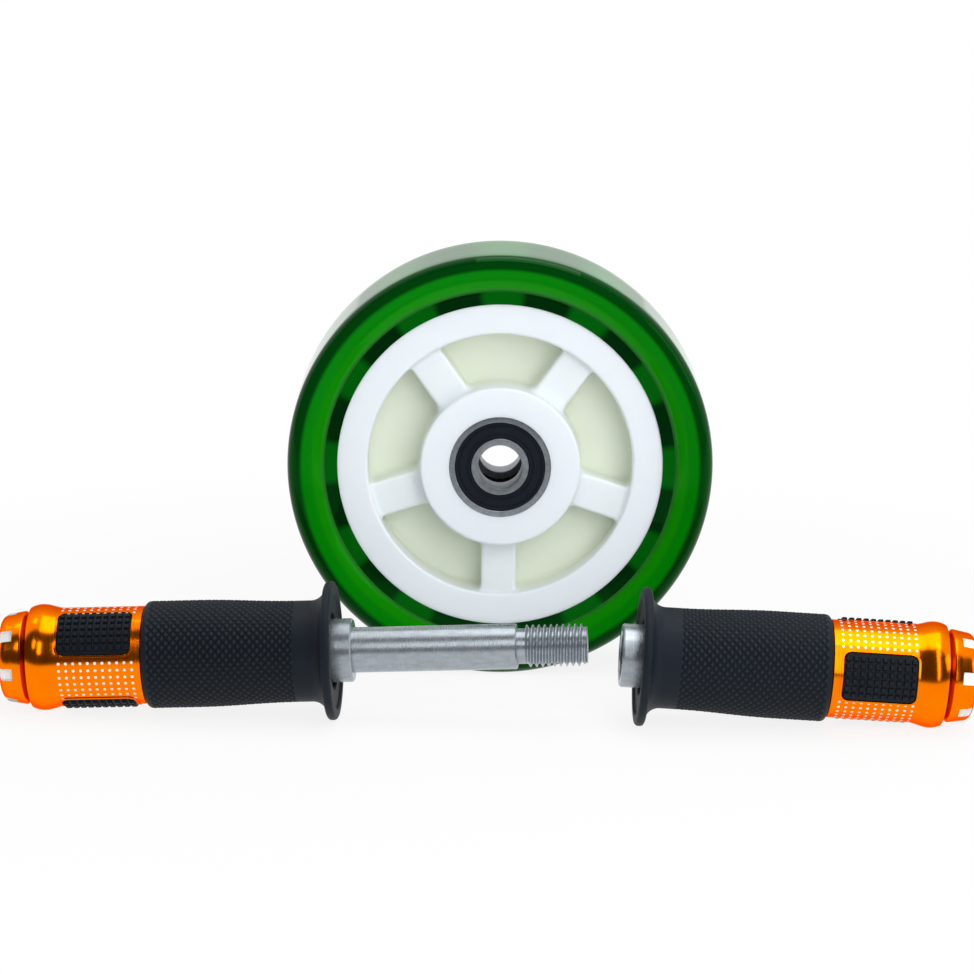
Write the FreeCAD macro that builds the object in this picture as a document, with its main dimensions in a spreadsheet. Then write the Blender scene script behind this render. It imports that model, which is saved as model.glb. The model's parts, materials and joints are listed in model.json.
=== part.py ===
"""Ab wheel roller, taken apart: a wheel on two ball bearings and two screw-together handles.

The wheel stands on its tread with its axle bore along Y, and the origin is the middle of that
bore. The two handles lie on the same floor in front of the wheel, each on the rim of its flange
and the bulge near its outer end. Every turned piece is drawn along its own X axis: the wheel's
pieces with the front of the wheel towards +X, a handle's pieces with the inner face of the
flange at zero and the outer end towards +X. All sizes are in millimetres and degrees.
"""
import FreeCAD, Part
import math
import os
import Sketcher

# Lengths closer than this are taken as equal
HAIR = 0.001

doc = FreeCAD.newDocument("ab_wheel_roller")
sheet = doc.addObject("Spreadsheet::Sheet", "dims")

# Sizes that can be set by themselves
DRIVING = {
    # Tyre
    "tyre_diameter": 146,
    "tyre_width": 42,
    "tyre_wall": 17,
    "tyre_overhang": 5,
    "tyre_shoulder": 4.4,
    "tyre_side_round": 25,
    "tyre_lip_rise": 4.5,
    "tyre_lip_inset": 3.8,
    "tyre_lip_slope": 0.6,
    "tyre_bead_rise": 0.4,
    # Hub
    "rim_wall": 10.5,
    "boss_wall": 10,
    "boss_length": 39.6,
    "seat_shoulder": 2,
    "web_thickness": 4,
    "hub_edge_round": 1,
    "spoke_count": 5,
    "spoke_width": 12,
    "spoke_inset": 3,
    "spoke_edge_round": 1.2,
    "spoke_root_fillet": 4,
    "spoke_head_fillet": 1.7,
    "pocket_fillet": 1.5,
    "fillet_share": 0.9,
    "lug_count": 12,
    "lug_angle": 13.5,
    "lug_height": 4.2,
    "lug_root": 2,
    "lug_inset": 2.5,
    # Ball bearings of the 15 x 35 x 11 size
    "bearing_bore": 15,
    "bearing_diameter": 35,
    "bearing_width": 11,
    "bearing_inset": 0.3,
    "ring_chamfer": 0.5,
    "ball_diameter": 5.953,
    "ball_count": 8,
    "race_clearance": 0.05,
    "land_offset": 2.1,
    "inner_step": 0.6,
    "seal_step": 0.9,
    "seal_thickness": 1.2,
    "seal_recess": 0.3,
    "seal_back_gap": 0.2,
    "seal_lip_clearance": 0.08,
    "cage_land_gap": 1,
    "cage_seal_gap": 0.4,
    "cage_pocket_clearance": 0.1,
    # Axle
    "shank_clearance": 0.02,
    "shank_length": 54.1,
    "shank_chamfer": 0.4,
    "relief_diameter": 11.6,
    "relief_length": 3,
    "thread_diameter": 14,
    "thread_pitch": 2,
    "thread_depth_per_pitch": 0.6134,
    "thread_turns": 10,
    "thread_flank_angle": 30,
    "tip_chamfer": 0.8,
    "axle_root_length": 34,
    "axle_root_step": 0.68,
    # Handle core and threaded bush
    "socket_clearance": 0.1,
    "tube_step": 0.2,
    "core_wall": 2.7,
    "core_lead": 5,
    "core_chamfer": 0.6,
    "bush_length": 24,
    "bush_crest_gap": 0.1468,
    "end_float": 0.2,
    # Rubber grip
    "grip_length": 63.5,
    "grip_diameter": 35.4,
    "grip_swell_end": 46,
    "grip_end_round": 1.8,
    "neck_drop": 1,
    "neck_end": 14,
    "neck_fillet": 4,
    "flange_rise": 6.25,
    "flange_thickness": 4.6,
    "flange_land": 0.7,
    "flange_dish": 0.8,
    "recess_gap": 2.2,
    "recess_depth": 3,
    # Aluminium barrel
    "barrel_length": 39,
    "barrel_drop": 1.5,
    "bulge_rise": 1.4,
    "bulge_round": 8.3,
    "bulge_from_end": 4.5,
    "bulge_flank": 0.9,
    "groove_depth": 2,
    # Rubber pads in the barrel's windows
    "pad_count": 3,
    "pad_arc": 59,
    "pad_from_grip": 3.3,
    "pad_from_bulge": 2,
    "pad_depth": 1.6,
    "pad_rise": 1,
    "pad_corner": 2.5,
    "window_margin": 0.15,
    "window_bevel": 0.6,
    # End cap
    "cap_length": 9,
    "cap_step": 0.7,
    "cap_lead": 1.3,
    "cap_taper": 0.8,
    "cap_round": 3,
    "spigot_length": 12,
    "notch_count": 7,
    "notch_width": 4.1,
    "notch_length": 5,
    "notch_depth": 0.9,
    # Where the handles lie
    "handle_gap": 37.4,
    "axle_handle_left": 52.4,
    "axle_handle_yaw": 3.77,
    "axle_handle_roll": -46,
    "axle_cap_turn": -1.5,
    "nut_handle_gap": 11.2,
    "nut_handle_forward": 1.3,
    "nut_handle_yaw": 1.72,
    "nut_handle_roll": 85,
    "nut_cap_turn": -6,
}

# Sizes that follow from the ones above
DERIVED = {
    "tyre_radius": "tyre_diameter / 2",
    "tyre_half": "tyre_width / 2",
    "tread_half": "tyre_half - tyre_shoulder",
    "shoulder_radius": "tyre_radius - tyre_shoulder",
    "rim_radius": "tyre_radius - tyre_wall",
    "rim_half": "tyre_half - tyre_overhang",
    "rim_inner_radius": "rim_radius - rim_wall",
    "lip_radius": "rim_radius + tyre_lip_rise",
    "lip_half": "tyre_half - tyre_lip_inset",
    "bearing_radius": "bearing_diameter / 2",
    "boss_radius": "bearing_radius + boss_wall",
    "boss_half": "boss_length / 2",
    "web_half": "web_thickness / 2",
    "spoke_half": "spoke_width / 2",
    "spoke_level": "rim_half - spoke_inset",
    "spoke_depth": "2 * spoke_level",
    "spoke_foot": "(boss_radius + bearing_radius) / 2",
    "spoke_head": "(rim_inner_radius + rim_radius) / 2",
    "spoke_room": "fillet_share * (rim_inner_radius - boss_radius)",
    "root_room": "fillet_share * (boss_half - spoke_level - hub_edge_round)",
    "head_room": "fillet_share * (spoke_inset - hub_edge_round)",
    "root_round": "min(spoke_root_fillet; root_room; spoke_room / 2)",
    "head_round": "min(spoke_head_fillet; head_room; spoke_room / 4)",
    "floor_round": "min(pocket_fillet; fillet_share * head_round)",
    "lug_width": "2 * (rim_half - lug_inset)",
    "lug_radius": "rim_radius + lug_height",
    "lug_root_radius": "rim_radius - lug_root",
    "lug_top_half": "lug_radius * sin(lug_angle / 2)",
    "lug_top_level": "lug_radius * cos(lug_angle / 2)",
    "lug_root_half": "lug_root_radius * sin(lug_angle / 2)",
    "lug_root_level": "lug_root_radius * cos(lug_angle / 2)",
    "cavity_radius": "bearing_radius - seat_shoulder",
    "bore_radius": "bearing_bore / 2",
    "bearing_half": "bearing_width / 2",
    "bearing_face": "boss_half - bearing_inset",
    "bearing_middle": "bearing_face - bearing_half",
    "seat_floor": "bearing_face - bearing_width",
    "ball_radius": "ball_diameter / 2",
    "pitch_radius": "(bearing_radius + bore_radius) / 2",
    "race_radius": "ball_radius + race_clearance",
    "outer_land": "pitch_radius + land_offset",
    "inner_land": "pitch_radius - land_offset",
    "inner_face": "inner_land - inner_step",
    "outer_race_half": "sqrt(race_radius ^ 2 - (outer_land - pitch_radius) ^ 2)",
    "inner_race_half": "sqrt(race_radius ^ 2 - (pitch_radius - inner_land) ^ 2)",
    "seal_radius": "outer_land + seal_step",
    "seal_face": "bearing_half - seal_recess",
    "seal_back": "seal_face - seal_thickness",
    "seal_seat": "seal_back - seal_back_gap",
    "seal_lip": "inner_face + seal_lip_clearance",
    "cage_inner": "inner_land + cage_land_gap",
    "cage_outer": "outer_land - cage_land_gap",
    "cage_half": "seal_back - cage_seal_gap",
    "core_bore_radius": "bore_radius + socket_clearance",
    "tube_bore_radius": "core_bore_radius + tube_step",
    "core_radius": "tube_bore_radius + core_wall",
    "shank_radius": "bore_radius - shank_clearance",
    "root_radius": "shank_radius - axle_root_step",
    "shank_end": "core_lead + shank_length",
    "relief_radius": "relief_diameter / 2",
    "relief_end": "shank_end + relief_length",
    "thread_radius": "thread_diameter / 2",
    "thread_length": "thread_pitch * thread_turns",
    "axle_tip": "relief_end + thread_length",
    "thread_depth": "thread_depth_per_pitch * thread_pitch",
    "thread_root": "thread_radius - thread_depth",
    "thread_valley": "relief_end + thread_pitch / 2",
    "cutter_top": "thread_radius + thread_depth / 4",
    "cutter_half": "(cutter_top - thread_root) * tan(thread_flank_angle)",
    "bearing_stack": "2 * bearing_face",
    "bush_start": "shank_length - bearing_stack - end_float - core_lead",
    "bush_bore_radius": "thread_root + bush_crest_gap",
    "grip_radius": "grip_diameter / 2",
    "neck_radius": "grip_radius - neck_drop",
    "flange_radius": "neck_radius + flange_rise",
    "flange_round": "flange_thickness / 2",
    "flange_lip": "flange_round + flange_land",
    "neck_round": "min(neck_fillet; fillet_share * (flange_radius - flange_round - neck_radius))",
    "recess_radius": "core_radius + recess_gap",
    "barrel_radius": "grip_radius - barrel_drop",
    "barrel_end": "grip_length + barrel_length",
    "bulge_radius": "barrel_radius + bulge_rise",
    "bulge_middle": "barrel_end - bulge_from_end",
    "bulge_centre": "bulge_radius - bulge_round",
    "bulge_start": "bulge_middle - sqrt(bulge_round ^ 2 - (barrel_radius - bulge_centre) ^ 2)",
    "flank_place": "barrel_end - bulge_flank",
    "flank_radius": "bulge_centre + sqrt(bulge_round ^ 2 - (flank_place - bulge_middle) ^ 2)",
    "groove_radius": "barrel_radius - groove_depth",
    "pad_start": "grip_length + pad_from_grip",
    "pad_end": "bulge_start - pad_from_bulge",
    "pad_floor": "barrel_radius - pad_depth",
    "pad_radius": "barrel_radius + pad_rise",
    "window_arc": "pad_arc + 2 * window_margin / barrel_radius * 180 / pi",
    "window_corner": "pad_corner + window_margin",
    "cap_end": "barrel_end + cap_length",
    "cap_radius": "barrel_radius - cap_step",
    "cap_nose": "cap_radius - cap_taper",
    "notch_start": "cap_end - notch_length",
    "notch_half": "notch_width / 2",
    "notch_floor": "cap_nose - notch_depth",
}


def fill_sheet():
    """Writes the driving sizes as plain numbers and the derived ones as formulas."""
    rows = [(name, str(value)) for name, value in DRIVING.items()]
    rows += [(name, "=" + formula) for name, formula in DERIVED.items()]
    for row, (name, content) in enumerate(rows, start=1):
        sheet.set("A%d" % row, name)
        sheet.set("B%d" % row, content)
        sheet.setAlias("B%d" % row, name)
    doc.recompute()


def total(words):
    """Adds up a sum of sheet names, such as 'rim_half + tyre_bead_rise', to a number."""
    sign = 1
    result = 0.0
    for word in words.split():
        if word in "+-":
            sign = 1 if word == "+" else -1
        elif word != "0":
            result += sign * float(sheet.get(word))
    return result


def bound(words):
    """Turns a sum of sheet names into an expression that follows the sheet."""
    return " ".join(word if word in "+-0" else "dims." + word for word in words.split())


def vector(x, y, z=0.0):
    """Shorthand for a FreeCAD vector."""
    return FreeCAD.Vector(x, y, z)


def new_body(label):
    """Adds an empty body whose label names the piece."""
    body = doc.addObject("PartDesign::Body", label)
    body.Label = label
    return body


def origin_feature(body, role):
    """Finds one of a body's own origin planes or axes by its role."""
    return next(item for item in body.Origin.OriginFeatures if item.Role == role)


def new_sketch(body, name, role="XZ_Plane"):
    """Adds a sketch on one of the body's origin planes."""
    sketch = body.newObject("Sketcher::SketchObject", name)
    sketch.AttachmentSupport = (origin_feature(body, role), [""])
    sketch.MapMode = "FlatFace"
    return sketch


def constrain(sketch, words, *constraint):
    """Adds one dimension to a sketch and ties it to the sheet."""
    index = sketch.addConstraint(Sketcher.Constraint(*constraint, total(words)))
    if words != "0":
        sketch.setExpression("Constraints[%d]" % index, bound(words))


def arc_between(here, there, radius, bend):
    """Makes the short arc between two corners of an outline drawn counter-clockwise.

    A convex arc swells out of the outline and a concave one is hollowed into it.
    """
    chord = there - here
    middle = (here + there) * 0.5
    reach = math.sqrt(radius ** 2 - (chord.Length / 2) ** 2)
    left = vector(-chord.y, chord.x) / chord.Length
    centre = middle + left * (reach if bend == "convex" else -reach)
    ends = (here, there) if bend == "convex" else (there, here)
    angles = [math.atan2(end.y - centre.y, end.x - centre.x) for end in ends]
    return Part.ArcOfCircle(Part.Circle(centre, vector(0, 0, 1), radius), *angles)


def draw(sketch, outline):
    """Draws a closed outline, counter-clockwise, with every corner tied to the sheet.

    Each corner is (across, up) in sheet names. A corner that starts an arc adds the arc's radius
    and 'convex' or 'concave'.
    """
    corners = [vector(total(corner[0]), total(corner[1])) for corner in outline]
    ends = []
    for index, corner in enumerate(outline):
        here = corners[index]
        there = corners[(index + 1) % len(corners)]
        if len(corner) == 2:
            sketch.addGeometry(Part.LineSegment(here, there))
            ends.append((1, 2))
        else:
            sketch.addGeometry(arc_between(here, there, total(corner[2]), corner[3]))
            ends.append((1, 2) if corner[3] == "convex" else (2, 1))
    for index, (first, last) in enumerate(ends):
        following = (index + 1) % len(ends)
        joint = Sketcher.Constraint("Coincident", index, last, following, ends[following][0])
        sketch.addConstraint(joint)
    for index, corner in enumerate(outline):
        constrain(sketch, corner[0], "DistanceX", index, ends[index][0])
        constrain(sketch, corner[1], "DistanceY", index, ends[index][0])
        if len(corner) > 2:
            constrain(sketch, corner[2], "Radius", index)


def rectangle(left, right, bottom, top):
    """Outline of a plain rectangle from the names of its four sides."""
    return [(left, bottom), (right, bottom), (right, top), (left, top)]


def turned(label, outline):
    """Makes a body by turning an outline about the body's X axis."""
    body = new_body(label)
    sketch = new_sketch(body, label + "_outline")
    draw(sketch, outline)
    revolution = body.newObject("PartDesign::Revolution", label + "_turned")
    revolution.Profile = sketch
    revolution.ReferenceAxis = (sketch, ["H_Axis"])
    revolution.Angle = 360
    doc.recompute()
    return body


def repeat_round(body, feature, count):
    """Repeats a feature evenly about the body's X axis and makes the result the body's tip."""
    pattern = body.newObject("PartDesign::PolarPattern", feature.Name + "_round")
    pattern.Originals = [feature]
    pattern.Axis = (origin_feature(body, "X_Axis"), [""])
    pattern.Angle = 360
    pattern.setExpression("Occurrences", bound(count))
    body.Tip = pattern
    doc.recompute()
    return pattern


def round_edges(body, name, chosen, radius):
    """Fillets the edges of a body's tip that pass a test."""
    tip = body.Tip
    names = ["Edge%d" % number for number, edge in enumerate(tip.Shape.Edges, start=1) if chosen(edge)]
    fillet = body.newObject("PartDesign::Fillet", name)
    fillet.Base = (tip, names)
    fillet.setExpression("Radius", bound(radius))
    body.Tip = fillet
    doc.recompute()
    return fillet


def bevel_edges(body, name, chosen, size):
    """Chamfers the edges of a body's tip that pass a test."""
    tip = body.Tip
    names = ["Edge%d" % number for number, edge in enumerate(tip.Shape.Edges, start=1) if chosen(edge)]
    chamfer = body.newObject("PartDesign::Chamfer", name)
    chamfer.Base = (tip, names)
    chamfer.setExpression("Size", bound(size))
    body.Tip = chamfer
    doc.recompute()
    return chamfer


def radius_of(point):
    """Distance of a point from the X axis."""
    return math.hypot(point.y, point.z)


def near(first, second):
    """Says whether two lengths agree to a hair's breadth."""
    return abs(first - second) < HAIR


def points_along(edge):
    """Five points spread evenly along an edge, its ends among them."""
    span = edge.LastParameter - edge.FirstParameter
    return [edge.valueAt(edge.FirstParameter + span * step / 4) for step in range(5)]


def lies_at(edge, place):
    """Says whether a whole edge lies this far from the middle, to either side along the X axis."""
    return all(near(abs(point.x), place) for point in points_along(edge))


def is_straight(edge):
    """Says whether an edge is a straight line."""
    return isinstance(edge.Curve, Part.Line)


def is_circle_at(edge, radius, place):
    """Says whether an edge is a circle about the X axis with this radius, this far from the middle."""
    if not isinstance(edge.Curve, Part.Circle):
        return False
    point = edge.Vertexes[0].Point
    return near(radius_of(point), radius) and near(abs(point.x), place)


def lug_outline():
    """Outline of one keying lug, seen along the axle, from inside the rim to the lug's top."""
    return [
        ("- lug_root_half", "lug_root_level"),
        ("lug_root_half", "lug_root_level"),
        ("lug_top_half", "lug_top_level", "lug_radius", "convex"),
        ("- lug_top_half", "lug_top_level"),
    ]


def make_tyre():
    """Clear cast tyre: domed sides, rounded shoulders, and recesses that the hub's lugs fill."""
    body = turned("tyre", [
        ("- rim_half", "rim_radius"),
        ("rim_half", "rim_radius"),
        ("rim_half + tyre_bead_rise", "lip_radius"),
        ("lip_half", "lip_radius + tyre_lip_slope", "tyre_side_round", "convex"),
        ("tyre_half", "shoulder_radius", "tyre_shoulder", "convex"),
        ("tread_half", "tyre_radius"),
        ("- tread_half", "tyre_radius", "tyre_shoulder", "convex"),
        ("- tyre_half", "shoulder_radius", "tyre_side_round", "convex"),
        ("- lip_half", "lip_radius + tyre_lip_slope"),
        ("- rim_half - tyre_bead_rise", "lip_radius"),
    ])
    sketch = new_sketch(body, "tyre_key", "YZ_Plane")
    draw(sketch, lug_outline())
    pocket = body.newObject("PartDesign::Pocket", "tyre_key_recess")
    pocket.Profile = sketch
    pocket.SideType = "Symmetric"
    pocket.setExpression("Length", "dims.lug_width")
    repeat_round(body, pocket, "lug_count")
    return body


def make_hub():
    """Moulded nylon hub: boss with two bearing seats, web, spokes, rim and keying lugs."""
    body = turned("wheel_hub", [
        ("- seat_floor", "cavity_radius"),
        ("seat_floor", "cavity_radius"),
        ("seat_floor", "bearing_radius"),
        ("boss_half", "bearing_radius"),
        ("boss_half", "boss_radius"),
        ("web_half", "boss_radius"),
        ("web_half", "rim_inner_radius"),
        ("rim_half", "rim_inner_radius"),
        ("rim_half", "rim_radius"),
        ("- rim_half", "rim_radius"),
        ("- rim_half", "rim_inner_radius"),
        ("- web_half", "rim_inner_radius"),
        ("- web_half", "boss_radius"),
        ("- boss_half", "boss_radius"),
        ("- boss_half", "bearing_radius"),
        ("- seat_floor", "bearing_radius"),
    ])
    sketch = new_sketch(body, "spoke_outline", "YZ_Plane")
    draw(sketch, rectangle("- spoke_half", "spoke_half", "- spoke_head", "- spoke_foot"))
    spoke = body.newObject("PartDesign::Pad", "spoke")
    spoke.Profile = sketch
    spoke.SideType = "Symmetric"
    spoke.setExpression("Length", "dims.spoke_depth")
    repeat_round(body, spoke, "spoke_count")
    level = total("spoke_level")
    floor = total("web_half")
    walls = (total("boss_radius"), total("rim_inner_radius"))

    def is_spoke_edge(edge):
        """Picks the long outer edges of the spokes."""
        return is_straight(edge) and lies_at(edge, level)

    def meets_wall(edge, wall):
        """Picks the edges where the spokes meet a round wall, above the web."""
        points = points_along(edge)
        on_wall = all(near(radius_of(point), wall) for point in points)
        return on_wall and not lies_at(edge, floor) and all(abs(point.x) < level + HAIR for point in points)

    def is_pocket_floor(edge):
        """Picks the edges round the floor of each pocket between the spokes."""
        between = all(walls[0] - HAIR < radius_of(point) < walls[1] + HAIR for point in points_along(edge))
        return between and lies_at(edge, floor)

    round_edges(body, "spoke_edges", is_spoke_edge, "spoke_edge_round")
    round_edges(body, "spoke_roots", lambda edge: meets_wall(edge, walls[0]), "root_round")
    round_edges(body, "spoke_heads", lambda edge: meets_wall(edge, walls[1]), "head_round")
    round_edges(body, "pocket_floors", is_pocket_floor, "floor_round")
    sketch = new_sketch(body, "lug_shape", "YZ_Plane")
    draw(sketch, lug_outline())
    lug = body.newObject("PartDesign::Pad", "lug")
    lug.Profile = sketch
    lug.SideType = "Symmetric"
    lug.setExpression("Length", "dims.lug_width")
    repeat_round(body, lug, "lug_count")
    rounded = [(total("boss_radius"), total("boss_half")), (total("rim_inner_radius"), total("rim_half"))]

    def is_moulded_edge(edge):
        """Picks the boss's and the rim's face edges."""
        return any(is_circle_at(edge, radius, place) for radius, place in rounded)

    round_edges(body, "moulded_edges", is_moulded_edge, "hub_edge_round")
    return body


def make_outer_ring(label):
    """Bearing outer ring with its ball groove and a seat for a seal at each side."""
    return turned(label, [
        ("- bearing_half", "seal_radius"),
        ("- seal_seat", "seal_radius"),
        ("- seal_seat", "outer_land"),
        ("- outer_race_half", "outer_land", "race_radius", "concave"),
        ("outer_race_half", "outer_land"),
        ("seal_seat", "outer_land"),
        ("seal_seat", "seal_radius"),
        ("bearing_half", "seal_radius"),
        ("bearing_half", "bearing_radius - ring_chamfer"),
        ("bearing_half - ring_chamfer", "bearing_radius"),
        ("- bearing_half + ring_chamfer", "bearing_radius"),
        ("- bearing_half", "bearing_radius - ring_chamfer"),
    ])


def make_inner_ring(label):
    """Bearing inner ring with its ball groove and a lower land under each seal's lip."""
    return turned(label, [
        ("- bearing_half + ring_chamfer", "bore_radius"),
        ("bearing_half - ring_chamfer", "bore_radius"),
        ("bearing_half", "bore_radius + ring_chamfer"),
        ("bearing_half", "inner_face"),
        ("seal_seat", "inner_face"),
        ("seal_seat", "inner_land"),
        ("inner_race_half", "inner_land", "race_radius", "concave"),
        ("- inner_race_half", "inner_land"),
        ("- seal_seat", "inner_land"),
        ("- seal_seat", "inner_face"),
        ("- bearing_half", "inner_face"),
        ("- bearing_half", "bore_radius + ring_chamfer"),
    ])


def make_seal(label):
    """Rubber seal: a disc held in the outer ring, its lip just clear of the inner ring."""
    return turned(label, rectangle("seal_back", "seal_face", "seal_lip", "seal_radius"))


def make_cage(label):
    """Ball cage: a ring with one round pocket for each ball."""
    body = turned(label, rectangle("- cage_half", "cage_half", "cage_inner", "cage_outer"))
    sketch = new_sketch(body, label + "_pocket_outline", "XY_Plane")
    hole = "ball_radius + cage_pocket_clearance"
    sketch.addGeometry(Part.Circle(vector(0, 0), vector(0, 0, 1), total(hole)))
    sketch.addConstraint(Sketcher.Constraint("Coincident", 0, 3, -1, 1))
    constrain(sketch, hole, "Radius", 0)
    pocket = body.newObject("PartDesign::Pocket", label + "_pocket")
    pocket.Profile = sketch
    pocket.Type = "ThroughAll"
    pocket.Reversed = True
    repeat_round(body, pocket, "ball_count")
    return body


def make_balls(label):
    """The balls of one bearing, evenly spaced, as one group of separate solids."""
    balls = []
    count = int(total("ball_count"))
    for index in range(count):
        ball = doc.addObject("Part::Sphere", label + "_ball")
        ball.setExpression("Radius", "dims.ball_radius")
        turn = FreeCAD.Rotation(vector(1, 0, 0), 360 * index / count)
        ball.Placement = FreeCAD.Placement(turn.multVec(vector(0, 0, total("pitch_radius"))), turn)
        balls.append(ball)
    group = doc.addObject("Part::Compound", label)
    group.Label = label
    group.Links = balls
    doc.recompute()
    return group


def make_axle():
    """Axle: a root pressed into the core as far as its shoulder, a plain shank, a relief and a thread."""
    body = turned("axle", [
        ("- axle_tip", "0"),
        ("axle_root_length - core_lead", "0"),
        ("axle_root_length - core_lead", "root_radius"),
        ("- core_lead", "root_radius"),
        ("- core_lead", "shank_radius"),
        ("- shank_end + shank_chamfer", "shank_radius"),
        ("- shank_end", "shank_radius - shank_chamfer"),
        ("- shank_end", "relief_radius"),
        ("- relief_end", "relief_radius"),
        ("- relief_end", "thread_radius"),
        ("- axle_tip + tip_chamfer", "thread_radius"),
        ("- axle_tip", "thread_radius - tip_chamfer"),
    ])
    sketch = new_sketch(body, "thread_cutter")
    draw(sketch, [
        ("- thread_valley", "thread_root"),
        ("- thread_valley + cutter_half", "cutter_top"),
        ("- thread_valley - cutter_half", "cutter_top"),
    ])
    groove = body.newObject("PartDesign::Groove", "thread_groove")
    groove.Profile = sketch
    groove.ReferenceAxis = (sketch, ["H_Axis"])
    groove.Angle = 360
    doc.recompute()
    thread = body.newObject("PartDesign::LinearPattern", "thread")
    thread.Originals = [groove]
    thread.Direction = (origin_feature(body, "X_Axis"), [""])
    thread.Reversed = True
    thread.setExpression("Length", "dims.thread_length - dims.thread_pitch")
    thread.setExpression("Occurrences", "dims.thread_turns")
    body.Tip = thread
    doc.recompute()
    return body


def make_core(label, mouth, shoulder):
    """Steel core tube of a handle: its mouth's radius as far as a shoulder, then a wider bore."""
    return turned(label, [
        ("- core_lead", mouth),
        (shoulder, mouth),
        (shoulder, "tube_bore_radius"),
        ("barrel_end", "tube_bore_radius"),
        ("barrel_end", "core_radius"),
        ("- core_lead + core_chamfer", "core_radius"),
        ("- core_lead", "core_radius - core_chamfer"),
    ])


def make_bush(label):
    """Threaded bush behind the nut handle's shoulder, drawn with the thread's plain core hole."""
    return turned(label, rectangle(
        "bush_start", "bush_start + bush_length", "bush_bore_radius", "tube_bore_radius"))


def make_grip(label):
    """Rubber grip: round-rimmed flange with a dished face, neck, and a gently swelling sleeve."""
    return turned(label, [
        ("recess_depth", "core_radius"),
        ("grip_length", "core_radius"),
        ("grip_length", "grip_radius - grip_end_round", "grip_end_round", "convex"),
        ("grip_length - grip_end_round", "grip_radius"),
        ("grip_swell_end", "grip_radius"),
        ("neck_end", "neck_radius"),
        ("flange_thickness + neck_round", "neck_radius", "neck_round", "concave"),
        ("flange_thickness", "neck_radius + neck_round"),
        ("flange_thickness", "flange_radius - flange_round", "flange_round", "convex"),
        ("flange_round", "flange_radius", "flange_round", "convex"),
        ("0", "flange_radius - flange_round"),
        ("0", "flange_radius - flange_lip"),
        ("flange_dish", "flange_radius - flange_lip - flange_dish"),
        ("flange_dish", "recess_radius"),
        ("recess_depth", "recess_radius"),
    ])


def is_window_corner(edge):
    """Picks the short straight edges that run out from the axis at the corners of a window or pad."""
    return is_straight(edge) and near(edge.tangentAt(edge.FirstParameter).x, 0)


def make_barrel(label):
    """Aluminium barrel with a rounded bulge near its end and a window for each pad."""
    body = turned(label, [
        ("grip_length", "core_radius"),
        ("barrel_end", "core_radius"),
        ("barrel_end", "groove_radius"),
        ("flank_place", "flank_radius", "bulge_round", "convex"),
        ("bulge_start", "barrel_radius"),
        ("grip_length", "barrel_radius"),
    ])
    sketch = new_sketch(body, label + "_window_outline")
    draw(sketch, rectangle("pad_start - window_margin", "pad_end + window_margin", "pad_floor", "pad_radius"))
    window = body.newObject("PartDesign::Groove", label + "_window")
    window.Profile = sketch
    window.ReferenceAxis = (sketch, ["H_Axis"])
    window.Midplane = True
    window.setExpression("Angle", "dims.window_arc")
    repeat_round(body, window, "pad_count")
    round_edges(body, label + "_window_corners", is_window_corner, "window_corner")
    surface = total("barrel_radius")
    reach = (total("pad_start") - total("pad_corner"), total("pad_end") + total("pad_corner"))

    def is_window_rim(edge):
        """Picks the edges round each window on the barrel's outer surface."""
        points = [vertex.Point for vertex in edge.Vertexes]
        on_surface = all(near(radius_of(point), surface) for point in points)
        return on_surface and all(reach[0] < point.x < reach[1] for point in points)

    bevel_edges(body, label + "_window_bevel", is_window_rim, "window_bevel")
    return body


def make_pads(label):
    """Rubber pads, one in each window, standing a little proud of the barrel."""
    body = new_body(label)
    sketch = new_sketch(body, label + "_outline")
    draw(sketch, rectangle("pad_start", "pad_end", "pad_floor", "pad_radius"))
    pad = body.newObject("PartDesign::Revolution", label + "_one")
    pad.Profile = sketch
    pad.ReferenceAxis = (sketch, ["H_Axis"])
    pad.Midplane = True
    pad.setExpression("Angle", "dims.pad_arc")
    doc.recompute()
    repeat_round(body, pad, "pad_count")
    round_edges(body, label + "_corners", is_window_corner, "pad_corner")
    return body


def make_cap(label):
    """Aluminium end cap: a spigot in the core tube, a tapering head and notches milled in its rim."""
    body = turned(label, [
        ("barrel_end - spigot_length", "0"),
        ("cap_end", "0"),
        ("cap_end", "cap_nose - cap_round", "cap_round", "convex"),
        ("cap_end - cap_round", "cap_nose"),
        ("barrel_end + cap_lead", "cap_radius"),
        ("barrel_end", "groove_radius"),
        ("barrel_end", "tube_bore_radius"),
        ("barrel_end - spigot_length", "tube_bore_radius"),
    ])
    sketch = new_sketch(body, label + "_notch_outline", "XY_Plane")
    sketch.setExpression("AttachmentOffset.Base.z", "dims.notch_floor")
    draw(sketch, rectangle("notch_start", "cap_end + cap_round", "- notch_half", "notch_half"))
    notch = body.newObject("PartDesign::Pocket", label + "_notch")
    notch.Profile = sketch
    notch.Type = "ThroughAll"
    notch.Reversed = True
    repeat_round(body, notch, "notch_count")
    return body


def lying_tilt():
    """Angle in degrees by which a handle's axis drops outwards when it lies on flange and bulge."""
    rise = total("flange_radius - flange_round") - total("bulge_centre")
    run = total("bulge_middle") - total("flange_round")
    difference = total("bulge_round") - total("flange_round")
    return math.degrees(math.acos(difference / math.hypot(rise, run)) - math.atan2(run, rise))


def lying_height(tilt):
    """Height of the axis above the floor at the flange's face when a handle lies at this tilt."""
    angle = math.radians(tilt)
    lift = total("flange_radius - flange_round") * math.cos(angle)
    return lift + total("flange_round") * math.sin(angle) + total("flange_round")


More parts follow.
